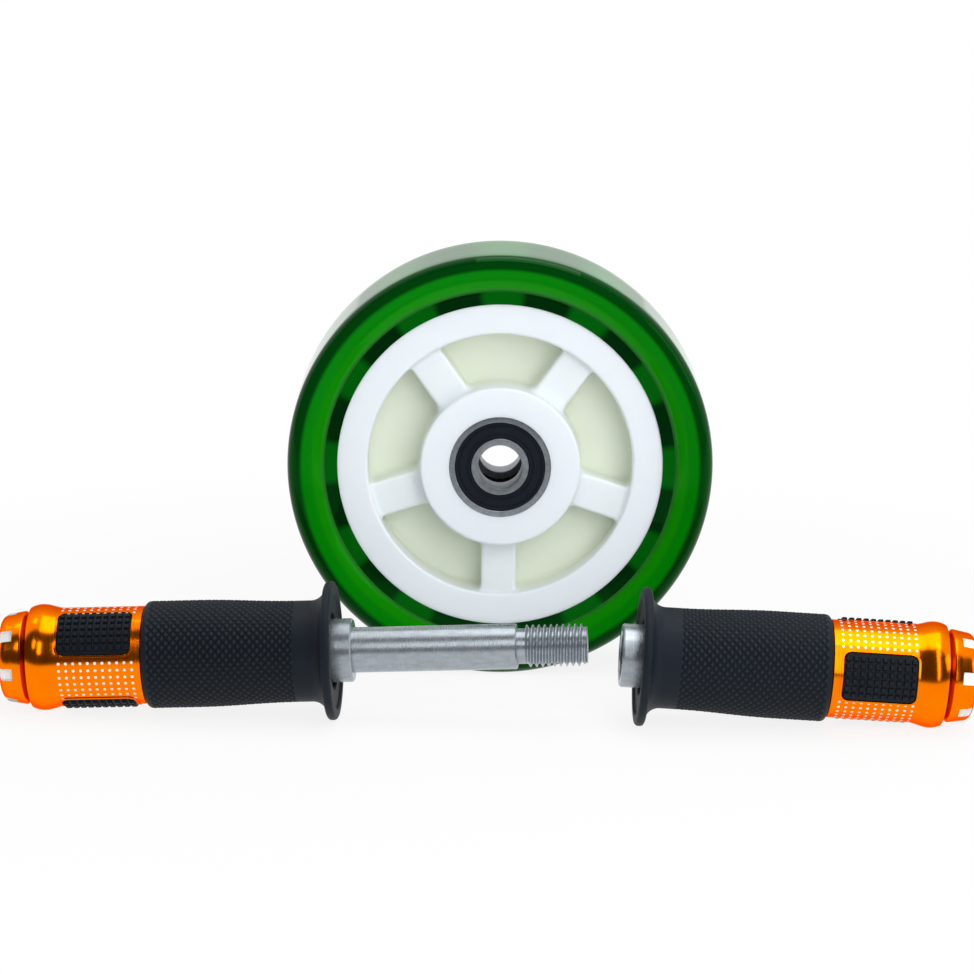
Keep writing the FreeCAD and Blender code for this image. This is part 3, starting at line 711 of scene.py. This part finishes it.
@dataclass
class Bearing:
    """One sealed ball bearing: its rings and outer seal are modelled, and the rest is dressed CAD."""

    side: Side
    bore: float = 7.5
    outside: float = 17.5
    half: float = 5.5
    corner: float = 0.5
    edge: float = 0.15
    pitch_radius: float = 12.5
    race: float = 3.0265
    land: float = 2.1
    seat: float = 3.8
    inner_seat: float = 9.8
    outer_seat: float = 15.5
    sides: int = 160

    def build(self) -> None:
        """Models the rings and the seal that shows, and dresses the balls, the cage and the back seal."""
        side = self.side.name.lower()
        name = f"{side}_bearing"
        low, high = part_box(f"{name}_outer_ring")
        placement = Matrix.Translation((Vector(low) + Vector(high)) / 2) @ self.side.facing()
        steel = TurnedSteel(f"Ground bearing steel, {side}", "aab0b6", 0.42, 0.9, placement)
        rubber = MouldedRubber(f"Moulded nitrile seal, {side}", "0e141b", 0.5, axis=placement)
        outer = self.ring(f"{side}_outer_race", self.outside, self.outer_seat, 1)
        inner = self.ring(f"{side}_inner_race", self.bore, self.inner_seat, -1)
        seal = self.seal(f"{side}_face_seal")
        settle(outer, steel, placement, "wheel", "bearing_steel", f"{name}_outer_ring")
        settle(inner, steel, placement, f"{side}_inner_ring", "bearing_steel", f"{name}_inner_ring")
        settle(seal, rubber, placement, "wheel", "seal_rubber", f"{name}_outer_seal")
        dress(frame["nodes"][f"{name}_inner_seal"], rubber)
        dress(frame["nodes"][f"{name}_balls"], steel)
        dress(frame["nodes"][f"{name}_cage"], MouldedNylon("Moulded cage nylon", "d8d2bf", 0.4))

    def ring(self, name: str, wall: float, seat_radius: float, outwards: int) -> Object:
        """Models one ring, from the middle of its race round to the wall that fits the hub or the axle.

        Args:
            name: The ring's name.
            wall: The radius of that wall.
            seat_radius: The radius of the seal's seat.
            outwards: 1 for the outer ring and -1 for the inner one.

        Returns:
            The ring.
        """
        land = self.pitch_radius + outwards * self.land
        round_start = wall - outwards * self.corner
        flat = self.half - self.corner
        race_half = math.sqrt(self.race ** 2 - self.land ** 2)
        return (
            Section(0, self.pitch_radius + outwards * self.race)
            .arc(race_half, land, (0, self.pitch_radius), 6)
            .to(self.seat, land)
            .to(self.seat, seat_radius)
            .to(self.half - self.edge, seat_radius)
            .to(self.half, seat_radius + outwards * self.edge)
            .to(self.half, round_start)
            .arc(flat, wall, (flat, round_start), 4)
            .mirrored()
            .spun(name, self.sides)
        )

    def seal(self, name: str) -> Object:
        """Models the rubber seal with its stiff disc between two shallow rings.

        Args:
            name: The seal's name.

        Returns:
            The seal.
        """
        back, inside = 4.0, 9.88
        points = [
            (back, 15.5), (5.0, 15.5), (5.2, 15.3), (5.2, 14.7), (4.9, 14.4), (4.9, 14.1), (5.1, 13.9),
            (5.1, 11.6), (4.85, 11.4), (4.85, 10.9), (5.05, 10.7), (5.05, 10.1), (4.85, inside),
        ]
        section = Section(back, inside)
        for point in points:
            section.to(*point)
        return section.spun(name, self.sides)


# Handles

@dataclass
class Handle:
    """One handle, drawn outwards from its flange's face: tube, rubber grip, barrel with pads, and cap."""

    name: str
    flange_face: Vector
    outwards: Vector
    roll: float
    cap_turn: float
    dot_turn: float
    mouth: float
    shoulder: float
    core_radius: float = 10.5
    core_bore: float = 7.8
    core_end: float = 102.5
    core_start: float = -5.0
    grip_end: float = 63.5
    neck_radius: float = 16.7
    grip_radius: float = 17.7
    knurl_start: float = 13.75
    knurl_end: float = 61.25
    knurl_pitch: float = 2.5
    knurl_around: int = 38
    knurl_depth: float = 0.45
    barrel_radius: float = 16.2
    flare_start: float = 90.5
    crest: float = 98.0
    crest_radius: float = 17.6
    barrel_end: float = 102.5
    groove_radius: float = 14.2
    pad_count: int = 3
    pad_start: float = 66.8
    pad_end: float = 91.387
    pad_arc: float = 59.0
    pad_base: float = 14.6
    pad_top: float = 16.3
    pad_corner: float = 2.5
    stud_pitch: float = 2.42
    stud_height: float = 0.95
    dot_radius: float = 0.5
    notches: int = 7
    notch_width: float = 4.1
    notch_length: float = 5.0
    notch_floor: float = 13.8
    cap_end: float = 111.5

    def placement(self) -> Matrix:
        """Gives the place of the handle's axis in the frame, in metres.

        Returns:
            The matrix from the handle's own axis to the frame.
        """
        x = self.outwards.normalized()
        z = (Vector((0, 0, 1)) - x * x.z).normalized()
        y = z.cross(x)
        turned = Matrix((x, y, z)).transposed().to_4x4()
        rolled = Matrix.Rotation(math.radians(self.roll), 4, "X")
        return Matrix.Translation(self.flange_face) @ turned @ rolled

    def body(self) -> str:
        """Gives the CAD body that carries the handle."""
        return f"{self.name}_handle"

    def build(self) -> None:
        """Models and places each piece of the handle."""
        axis = self.placement()
        label = f"of the {self.name} handle"
        rubber = MouldedRubber(f"Moulded grip rubber {label}", "0d151e", 0.58, axis=axis)
        pad_rubber = MouldedRubber(f"Moulded pad rubber {label}", "0a0c0f", 0.6, axis=axis)
        steel = TurnedSteel(f"Turned steel {label}", "a4abb1", 0.28, 0.8, axis)
        orange = AnodisedAluminium(f"Orange anodised aluminium {label}", "ff8600", 0.18, 1.0, axis)
        bright = CutAluminium(f"Bare cut aluminium {label}", "f4f5f8", 0.3, 0.25, axis)
        pieces = [
            (self.tube(), steel, "turned_steel", "core"),
            (self.grip(), rubber, "grip_rubber", "grip"),
            (self.barrel(orange), None, "orange_anodised", "barrel"),
            (self.pads(), pad_rubber, "pad_rubber", "pads"),
            (self.cap(orange, bright), None, "orange_anodised", "cap"),
        ]
        for piece, finish, slot, part in pieces:
            settle(piece, finish, axis, self.body(), slot, f"{self.name}_handle_{part}")
        settle(self.dots(), bright, axis, self.body(), "orange_anodised")
        self.build_end(axis, steel)

    def build_end(self, axis: Matrix, steel: Finish) -> None:
        """Adds what is at the handle's inner end, which differs between the two handles."""

    def tube(self) -> Object:
        """Models the steel tube that runs through the handle, with a stepped bore.

        Returns:
            The tube.
        """
        chamfer = 0.5
        return (
            Section(self.core_start, self.mouth + chamfer)
            .to(self.core_start + chamfer, self.mouth)
            .to(self.shoulder, self.mouth)
            .to(self.shoulder, self.core_bore)
            .to(self.core_end, self.core_bore)
            .to(self.core_end, self.core_radius)
            .to(self.core_start + chamfer, self.core_radius)
            .to(self.core_start, self.core_radius - chamfer)
            .spun(f"{self.name}_core_tube", 96)
        )

    def knurl(self, along: float, turn: float) -> float:
        """Gives the relief of the knurl, cut by two crossing sets of grooves.

        Args:
            along: The place along the grip.
            turn: Its angle, in turns.

        Returns:
            The relief, from -1 in a groove to 1 on a crown.
        """
        half_width = 0.27
        column = turn * self.knurl_around
        row = (along - self.knurl_start) / self.knurl_pitch
        away = min(abs(line - round(line)) for line in (row + column, row - column))
        if away < half_width:
            return away / half_width - 1
        return (away - half_width) / (0.5 - half_width)

    def grip(self) -> Object:
        """Models the rubber grip: thin dished flange, trumpet neck, and a sleeve that swells outwards.

        Returns:
            The grip.
        """
        rows_in_pitch = 8
        face, back, flange_radius, rim_round, lip = 0.8, 3.8, 22.95, 1.2, 2.2
        dish, recess, recess_radius, recess_edge = 0.8, 3.0, 12.7, 0.5
        trumpet, end_round, step = 5.0, 1.8, 0.05
        swell_start, swell_end, crown = 14.0, 46.0, 0.06
        rows = round((self.knurl_end - self.knurl_start) / self.knurl_pitch) * rows_in_pitch
        rim = flange_radius - rim_round
        neck, end, inner = back + trumpet, self.grip_end - end_round, face + dish + recess_edge
        grip = (
            Section(recess, self.core_radius)
            .to(self.grip_end, self.core_radius)
            .to(self.grip_end, self.grip_radius - end_round)
            .arc(end, self.grip_radius, (end, self.grip_radius - end_round), 6)
            .to(self.knurl_end, self.grip_radius)
            .to(self.knurl_start, self.grip_radius, rows)
            .to(self.knurl_start - step, self.neck_radius)
            .to(neck, self.neck_radius, 3)
            .arc(back, self.neck_radius + trumpet, (neck, self.neck_radius + trumpet), 10)
            .arc(back - rim_round, flange_radius, (back - rim_round, rim), 5)
            .to(face + rim_round, flange_radius)
            .arc(face, rim, (face + rim_round, rim), 5)
            .to(face, rim - lip)
            .to(face + dish, rim - lip - dish, 5, soft=True)
            .to(face + dish, recess_radius + recess_edge)
            .arc(inner, recess_radius, (inner, recess_radius + recess_edge), 4)
            .to(recess, recess_radius)
            .spun(f"{self.name}_rubber_grip", self.knurl_around * rows_in_pitch)
        )

        def cut_at(along: float, radius: float, turn: float) -> tuple[float, float]:
            """Gives the swell of the sleeve, with its knurl."""
            knurled = self.knurl_start - NEAR < along < self.knurl_end + NEAR
            if not knurled or radius < self.grip_radius - NEAR:
                return radius, 0.0
            share = min(max((along - swell_start) / (swell_end - swell_start), 0), 1)
            swollen = self.neck_radius + (self.grip_radius - self.neck_radius) * ease(share)
            relief = self.knurl(along, turn)
            return swollen + relief * (crown if relief > 0 else self.knurl_depth), relief

        carve(grip, cut_at)
        return grip

    def slab(self, name: str, levels: list[tuple[float, float]], margin: float,
             hollow: float = 0.0) -> Object:
        """Models a round-cornered slab rolled about the axis: a pad, a window's cutter, or a window's rim.

        Args:
            name: The slab's name.
            levels: The radius of each level from the lowest up, and how far it is grown all round.
            margin: How much wider than the pad the slab is, all round.
            hollow: The width that a rim keeps all round, or 0 for a full slab.

        Returns:
            The slab, with its middle over the axis.
        """
        strips, corner_steps = 24, 6
        length = self.pad_end - self.pad_start + 2 * margin
        width = math.radians(self.pad_arc) * self.barrel_radius + 2 * margin
        middle = (self.pad_start + self.pad_end) / 2
        piece = start_mesh(bpy.ops.mesh.primitive_plane_add, name, size=1)
        bpy.ops.transform.resize(value=(length, width, 1))
        bpy.ops.transform.translate(value=(middle, 0, levels[0][0]))
        bpy.ops.mesh.bevel(offset=self.pad_corner + margin, segments=corner_steps, affect="VERTICES")
        bpy.ops.mesh.select_mode(type="FACE")
        bpy.ops.mesh.select_all(action="SELECT")
        if hollow:
            bpy.ops.mesh.inset(thickness=hollow)
            bpy.ops.mesh.delete(type="FACE")
            bpy.ops.mesh.select_all(action="SELECT")
        for (low, grown), (high, growth) in zip(levels, levels[1:]):
            bpy.ops.mesh.extrude_region_move(TRANSFORM_OT_translate={"value": (0, 0, high - low)})
            scale = [(side + 2 * growth) / (side + 2 * grown) for side in (length, width)]
            bpy.ops.transform.resize(value=(*scale, 1), center_override=(middle, 0, high))
        for strip in range(1, strips):
            bpy.ops.mesh.select_all(action="SELECT")
            place = width * (strip / strips - 0.5)
            bpy.ops.mesh.bisect(plane_co=(0, place, 0), plane_no=(0, 1, 0))
        close_mesh(piece)
        if hollow:
            rounded = piece.modifiers.new("rounded", "BEVEL")
            rounded.width = hollow / 3
            rounded.segments = 3
            rounded.limit_method = "ANGLE"
            bpy.ops.object.modifier_apply(modifier=rounded.name)
            bpy.ops.object.shade_smooth()
        wrap(piece, self.barrel_radius)
        return piece

    def barrel(self, orange: Finish) -> Object:
        """Models the anodised barrel: its flared end, and windows with thin raised rims.

        Args:
            orange: The finish of the barrel, the windows' cut faces and their rims.

        Returns:
            The barrel.
        """
        flank, flank_radius, crest_round, edge = 101.6, 16.78, 8.3, 0.3
        margin, clear, window_sharp = 0.3, 1.4, 25
        rim_width, rim_gap, rim_rise, rim_root = 0.7, 0.05, 0.28, 0.4
        barrel = (
            Section(self.grip_end, self.core_radius)
            .to(self.barrel_end, self.core_radius)
            .to(self.barrel_end, self.groove_radius)
            .to(flank, flank_radius)
            .arc(self.crest, self.crest_radius, (self.crest, self.crest_radius - crest_round), 8)
            .to(self.flare_start, self.barrel_radius, 12, soft=True)
            .to(self.grip_end + edge, self.barrel_radius)
            .to(self.grip_end, self.barrel_radius - edge)
            .spun(f"{self.name}_barrel_shell", 192)
        )
        dress(barrel, orange)
        levels = [(self.pad_base, 0.0), (self.barrel_radius + clear, 0.0)]
        window = self.slab("window_cutter", levels, margin)
        dress(window, orange)
        cut(barrel, repeat_round(window, self.pad_count), window_sharp)
        levels = [(self.barrel_radius - rim_root, 0.0), (self.barrel_radius + rim_rise, 0.0)]
        rim = self.slab("window_rim", levels, rim_gap + rim_width, rim_width)
        dress(rim, orange)
        return join([barrel, repeat_round(rim, self.pad_count)])

    def pads(self) -> Object:
        """Models the rubber pads with their rows of square studs.

        Returns:
            The three pads as one piece.
        """
        edge, root = 0.35, 0.1
        foot, narrow, stud_edge, stud_sharp = 1.8, 0.7, 0.12, 30
        levels = [(self.pad_base, 0.0), (self.pad_top - edge, 0.0), (self.pad_top, -edge)]
        base = self.slab(f"{self.name}_studded_pads", levels, 0.0)
        columns = int((self.pad_end - self.pad_start) // self.stud_pitch)
        rows = int(math.radians(self.pad_arc) * self.barrel_radius // self.stud_pitch)
        middle = (self.pad_start + self.pad_end) / 2
        first = (middle - (columns - 1) / 2 * self.stud_pitch, -(rows - 1) / 2 * self.stud_pitch)
        stud = start_mesh(bpy.ops.mesh.primitive_plane_add, "stud", size=foot)
        bpy.ops.transform.translate(value=(*first, self.pad_top - root))
        bpy.ops.mesh.extrude_region_move(TRANSFORM_OT_translate={"value": (0, 0, self.stud_height)})
        bpy.ops.transform.resize(value=(narrow, narrow, 1))
        bpy.ops.mesh.bevel(offset=stud_edge, segments=1, affect="EDGES")
        close_mesh(stud, stud_sharp)
        repeat_in_rows(stud, columns, rows, self.stud_pitch)
        wrap(stud, self.pad_top)
        return repeat_round(join([base, stud]), self.pad_count)

    def dots(self) -> Object:
        """Models the bright dots that are drilled in rows between the pads.

        Returns:
            All the dots as one piece.
        """
        columns, rows, sides = 11, 7, 10
        proud, sunk, short = 0.03, 0.25, 0.7
        dot_edge, dot_crown, dot_sharp = 0.14, 0.04, 30
        start = self.pad_end - short - (columns - 1) * self.stud_pitch
        first = (start, -(rows - 1) / 2 * self.stud_pitch)
        dot = start_mesh(bpy.ops.mesh.primitive_circle_add, f"{self.name}_barrel_dots",
                         vertices=sides, radius=self.dot_radius, fill_type="NGON")
        bpy.ops.transform.translate(value=(*first, self.barrel_radius - sunk))
        bpy.ops.mesh.extrude_region_move(TRANSFORM_OT_translate={"value": (0, 0, sunk + proud)})
        bpy.ops.mesh.inset(thickness=dot_edge, depth=dot_crown)
        close_mesh(dot, dot_sharp)
        repeat_in_rows(dot, columns, rows, self.stud_pitch)
        wrap(dot, self.barrel_radius)
        return repeat_round(dot, self.pad_count, TURN / 2 / self.pad_count + math.radians(self.dot_turn))

    def cap(self, orange: Finish, bright: Finish) -> Object:
        """Models the end cap: a tapered head with notches milled through its edge.

        Args:
            orange: The cap's finish.
            bright: The finish of the milled notches.

        Returns:
            The cap.
        """
        plug_end, head, head_radius = 90.5, 103.8, 15.5
        edge, edge_drop, edge_round = 0.3, 0.05, 0.9
        taper_end, taper_radius, end_round = 108.5, 14.7, 3.0
        clear = 4.0
        cap = (
            Section(plug_end, 0)
            .to(plug_end, self.core_bore)
            .to(self.core_end, self.core_bore)
            .to(self.core_end, self.groove_radius)
            .to(head - edge, head_radius - edge)
            .arc(head + edge, head_radius - edge_drop, (head + edge, head_radius - edge_round), 4)
            .to(taper_end, taper_radius, 2)
            .arc(self.cap_end, taper_radius - end_round, (taper_end, taper_radius - end_round), 8)
            .to(self.cap_end, 0)
            .spun(f"{self.name}_end_cap", 168, closed=False)
        )
        dress(cap, orange)
        notch = start_mesh(bpy.ops.mesh.primitive_cube_add, "notch_cutter", size=1)
        bpy.ops.transform.resize(value=(self.notch_length + clear, self.notch_width, clear))
        centre = self.cap_end - self.notch_length + (self.notch_length + clear) / 2
        bpy.ops.transform.translate(value=(centre, 0, self.notch_floor + clear / 2))
        close_mesh(notch)
        dress(notch, bright)
        cut(cap, repeat_round(notch, self.notches, math.radians(self.cap_turn)))
        return cap


@dataclass
class AxleHandle(Handle):
    """The handle that carries the steel axle: plain shank, relief groove, and thread."""

    shank_radius: float = 7.48
    shank_start: float = -59.1
    relief_radius: float = 5.8
    thread_start: float = -62.1
    thread_end: float = -82.1
    thread_radius: float = 7.0
    thread_root: float = 5.773
    thread_pitch: float = 2.0
    run_out: float = 1.6
    root_radius: float = 6.8
    root_end: float = 29.0

    def thread(self, along: float, turn: float) -> float:
        """Gives the radius of the right-hand thread at a place.

        Args:
            along: The place along the axle.
            turn: Its angle, in turns.

        Returns:
            The radius in millimetres.
        """
        crest, root = 1 / 8, 1 / 4
        phase = along / self.thread_pitch - turn
        away = 2 * abs(phase - round(phase))
        share = min(max((away - crest) / (1 - crest - root), 0), 1)
        run_in = min(max((along - self.thread_end) / self.run_out, 0), 1)
        top = self.thread_root + (self.thread_radius - self.thread_root) * run_in
        return top + (self.thread_root - top) * share

    def build_end(self, axis: Matrix, steel: Finish) -> None:
        """Adds the axle, pressed in the tube."""
        rows_in_pitch = 12
        chamfer, tip, step = 0.4, 0.8, 0.001
        rows = round((self.thread_start - self.thread_end) / self.thread_pitch) * rows_in_pitch
        axle = (
            Section(self.root_end, 0)
            .to(self.root_end, self.root_radius)
            .to(self.core_start, self.root_radius)
            .to(self.core_start, self.shank_radius)
            .to(self.shank_start + chamfer, self.shank_radius, 3)
            .to(self.shank_start, self.shank_radius - chamfer)
            .to(self.shank_start, self.relief_radius)
            .to(self.thread_start, self.relief_radius)
            .to(self.thread_start - step, self.thread_radius)
            .to(self.thread_end + step, self.thread_radius, rows)
            .to(self.thread_end, self.thread_radius - tip)
            .to(self.thread_end, 0)
            .spun("axle_bar", 96, closed=False)
        )

        def cut_at(along: float, radius: float, turn: float) -> tuple[float, float]:
            """Gives the thread's radius where the bar is threaded."""
            threaded = self.thread_end < along < self.thread_start and radius > self.thread_radius - NEAR
            return (self.thread(along, turn) if threaded else radius), 0.0

        carve(axle, cut_at)
        settle(axle, steel, axis, self.body(), "turned_steel", "axle")


class NutHandle(Handle):
    """The handle that screws on the axle, with a threaded bush inside its tube."""

    def build_end(self, axis: Matrix, steel: Finish) -> None:
        """Dresses the CAD bush."""
        dress(frame["nodes"]["nut_handle_bush"], steel)


# Studio

@dataclass
class Studio:
    """A pale floor, a white surround that metal shows dark in front, soft lamps, and the camera."""

    floor_level: float = -73.0
    floor_size: float = 12.0
    white_near: float = 0.85
    white_span: tuple[float, float] = (0.15, 0.4)
    floor_front: float = 0.12
    floor_span: tuple[float, float] = (-0.45, -0.3)
    ambient: float = 0.46
    dark_front: float = 0.07
    front_span: tuple[float, float] = (-0.34, -0.2)
    dim_back: float = 0.75
    back_span: tuple[float, float] = (0.2, 0.9)
    screen_facing: Place = (0.2, 1.0, 0.0)
    sensor: float = 36.0
    focal_length: float = 147.84
    camera_place: Place = (-4.34, -1361.8, 271.7)
    camera_pitch: float = 78.27
    camera_roll: float = 0.90

    def build(self) -> None:
        """Sets up the light, the floor and the camera."""
        bpy.context.scene.view_settings.view_transform = "Standard"
        self.surround()
        self.floor()
        left_cap, right_cap, shank = (-0.15, -0.08, -0.04), (0.13, -0.06, -0.04), (-0.01, -0.075, -0.05)
        left, right, bar = ("axle_",), ("nut_",), ("axle_bar", "axle_core")
        self.lamp("overhead_softbox", (0.9, 0.62), (0.15, 0.0, 1.0), (0, 0, -0.05), 3.9)
        self.lamp("front_fill", (0.9, 1.3), (0.4, -1.1, 0.55), (0.05, -0.05, 0.0), 10.0, mirrored=False)
        self.lamp("right_strip", (0.24, 1.6), (0.33, -1.1, 0.68), right_cap, 3.2, lit=right)
        self.lamp("right_upper_strip", (0.24, 0.7), (0.34, -0.5, 1.12), right_cap, 0.7, lit=right)
        self.lamp("steel_strip", (0.22, 0.5), (-0.13, -1.0, 0.56), shank, 1.1, lit=bar)
        self.lamp("left_spot", (0.25, 0.35), (-0.57, -0.87, 0.68), left_cap, 0.65, lit=left)
        self.lamp("left_top_spot", (0.25, 0.3), (-0.52, 0.16, 1.08), left_cap, 0.57, lit=left)
        self.lamp("right_side_softbox", (0.5, 0.6), (1.15, -0.62, 0.55), (0, 0, 0), 1.5)
        self.camera()

    def surround(self) -> None:
        """Makes the world: white to the camera, even to matt things, dark in front to glossy ones."""
        world = bpy.data.worlds.new("studio surround")
        bpy.context.scene.world = world
        world.use_nodes = True
        tree = world.node_tree
        rays = add_node(tree, "LightPath").node.outputs
        depth = add_node(tree, "VectorMath", {"operation": "DOT_PRODUCT"}, {
            0: add_node(tree, "TexCoord", output="Generated"), 1: self.screen_facing}, "Value")
        front = add_node(tree, "MapRange", SMOOTH, {
            "Value": depth, "From Min": self.front_span[0], "From Max": self.front_span[1],
            "To Min": self.dark_front, "To Max": 1.0})
        back = add_node(tree, "MapRange", SMOOTH, {
            "Value": depth, "From Min": self.back_span[0], "From Max": self.back_span[1],
            "To Min": 1.0, "To Max": self.dim_back})
        screens = add_node(tree, "Math", {"operation": "MULTIPLY"}, {0: front, 1: back})
        glossy = add_node(tree, "Mix", FLOATS, {0: rays["Is Glossy Ray"], 2: self.ambient, 3: screens})
        seen = add_node(tree, "Math", {"operation": "MAXIMUM"}, {
            0: rays["Is Camera Ray"], 1: rays["Is Transmission Ray"]})
        strength = add_node(tree, "Mix", FLOATS, {0: seen, 2: glossy, 3: 1.0})
        plug(tree.nodes["Background"], {"Strength": strength, "Color": (1, 1, 1, 1)})

    def floor(self) -> None:
        """Makes the pale floor, which fades to white round the object and keeps its shadow."""
        bpy.ops.object.select_all(action="DESELECT")
        bpy.ops.mesh.primitive_plane_add(size=self.floor_size, location=(0, 0, self.floor_level * MM))
        floor = bpy.context.active_object
        floor.name = "studio_floor"
        bpy.ops.object.transform_apply(location=True, rotation=True, scale=True)
        material = bpy.data.materials.new("Pale studio floor")
        material.use_nodes = True
        tree = material.node_tree
        shader = tree.nodes["Principled BSDF"]
        plug(shader, {"Base Color": linear("f4f4f4"), "Roughness": 0.9})
        place = add_node(tree, "TexCoord", output="Object")
        away = add_node(tree, "VectorMath", {"operation": "LENGTH"}, {0: place}, "Value")
        depth = add_node(tree, "SeparateXYZ", None, {0: place}, "Y")
        rays = add_node(tree, "LightPath").node.outputs
        seen = add_node(tree, "MapRange", SMOOTH, {
            "Value": away, "From Min": self.white_span[0], "From Max": self.white_span[1],
            "To Min": self.white_near, "To Max": 1.0})
        camera_share = add_node(tree, "Math", {"operation": "MULTIPLY"}, {0: seen, 1: rays["Is Camera Ray"]})
        mirrored = add_node(tree, "Math", {"operation": "MAXIMUM"}, {
            0: rays["Is Glossy Ray"], 1: rays["Is Transmission Ray"]})
        share = add_node(tree, "Math", {"operation": "MAXIMUM"}, {0: camera_share, 1: mirrored})
        front = add_node(tree, "MapRange", SMOOTH, {
            "Value": depth, "From Min": self.floor_span[0], "From Max": self.floor_span[1],
            "To Min": self.floor_front, "To Max": 1.0})
        strength = add_node(tree, "Mix", FLOATS, {0: rays["Is Glossy Ray"], 2: 1.0, 3: front})
        glow = add_node(tree, "Emission", None, {"Color": (1, 1, 1, 1), "Strength": strength})
        mixed = add_node(tree, "MixShader", None, {0: share, 1: shader.outputs[0], 2: glow})
        plug(tree.nodes["Material Output"], {"Surface": mixed})
        floor.data.materials.append(material)

    def lamp(self, name: str, size: tuple[float, float], place: Place, target: Place, power: float,
             mirrored: bool = True, lit: tuple[str, ...] = ()) -> None:
        """Hangs a softbox that lights a point.

        Args:
            name: The lamp's name.
            size: Its width and height, in metres.
            place: Where it hangs.
            target: The point that it faces.
            power: Its light, in watts.
            mirrored: True where glossy surfaces show it.
            lit: What the names of the pieces that it lights start with; it lights everything by default.
        """
        light = bpy.data.lights.new(name, "AREA")
        light.shape = "RECTANGLE"
        light.size, light.size_y = size
        light.energy = power
        lamp = bpy.data.objects.new(name, light)
        bpy.context.collection.objects.link(lamp)
        lamp.location = place
        lamp.rotation_euler = (Vector(target) - Vector(place)).to_track_quat("-Z", "Y").to_euler()
        lamp.visible_camera = False
        lamp.visible_glossy = mirrored
        if lit:
            group = bpy.data.collections.new(f"{name} pieces")
            for piece in bpy.data.objects:
                if piece.name.startswith(lit):
                    group.objects.link(piece)
            lamp.light_linking.receiver_collection = group

    def camera(self) -> None:
        """Puts the camera where the photograph was taken from."""
        lens = bpy.data.cameras.new("photograph")
        lens.sensor_fit = "HORIZONTAL"
        lens.sensor_width = self.sensor
        lens.lens = self.focal_length
        camera = bpy.data.objects.new("photograph", lens)
        bpy.context.collection.objects.link(camera)
        pitch = Matrix.Rotation(math.radians(self.camera_pitch), 4, "X")
        roll = Matrix.Rotation(math.radians(self.camera_roll), 4, "Z")
        place = Matrix.Translation([length * MM for length in self.camera_place])
        camera.matrix_world = place @ (pitch @ roll)
        bpy.context.scene.camera = camera


def main() -> None:
    """Builds the wheel, its bearings, the handles and the studio."""
    logging.basicConfig(level=logging.INFO, format="%(name)s: %(message)s")
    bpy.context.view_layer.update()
    record = frame["record"]
    mounts = {mount["name"]: mount for mount in record["mounts"]}
    joints = {joint["name"]: joint for joint in record["behaviour"]["joints"]}
    shank, nut = mounts["axle_shank"], joints["nut_turn"]
    shank_middle = 31.85 * MM
    axle_outwards = -Vector(shank["axis"])
    axle_face = Vector(shank["pos_m"]) + axle_outwards * shank_middle
    Wheel().build()
    for side in Side:
        Bearing(side).build()
    AxleHandle("axle", axle_face, axle_outwards, roll=-46.0, cap_turn=-1.5, dot_turn=-4.6,
               mouth=6.8, shoulder=29.0).build()
    NutHandle("nut", Vector(nut["pos_m"]), Vector(nut["axis"]), roll=85.0, cap_turn=-6.0, dot_turn=-1.5,
              mouth=7.6, shoulder=9.9).build()
    Studio().build()


if __name__ == "__main__":
    main()
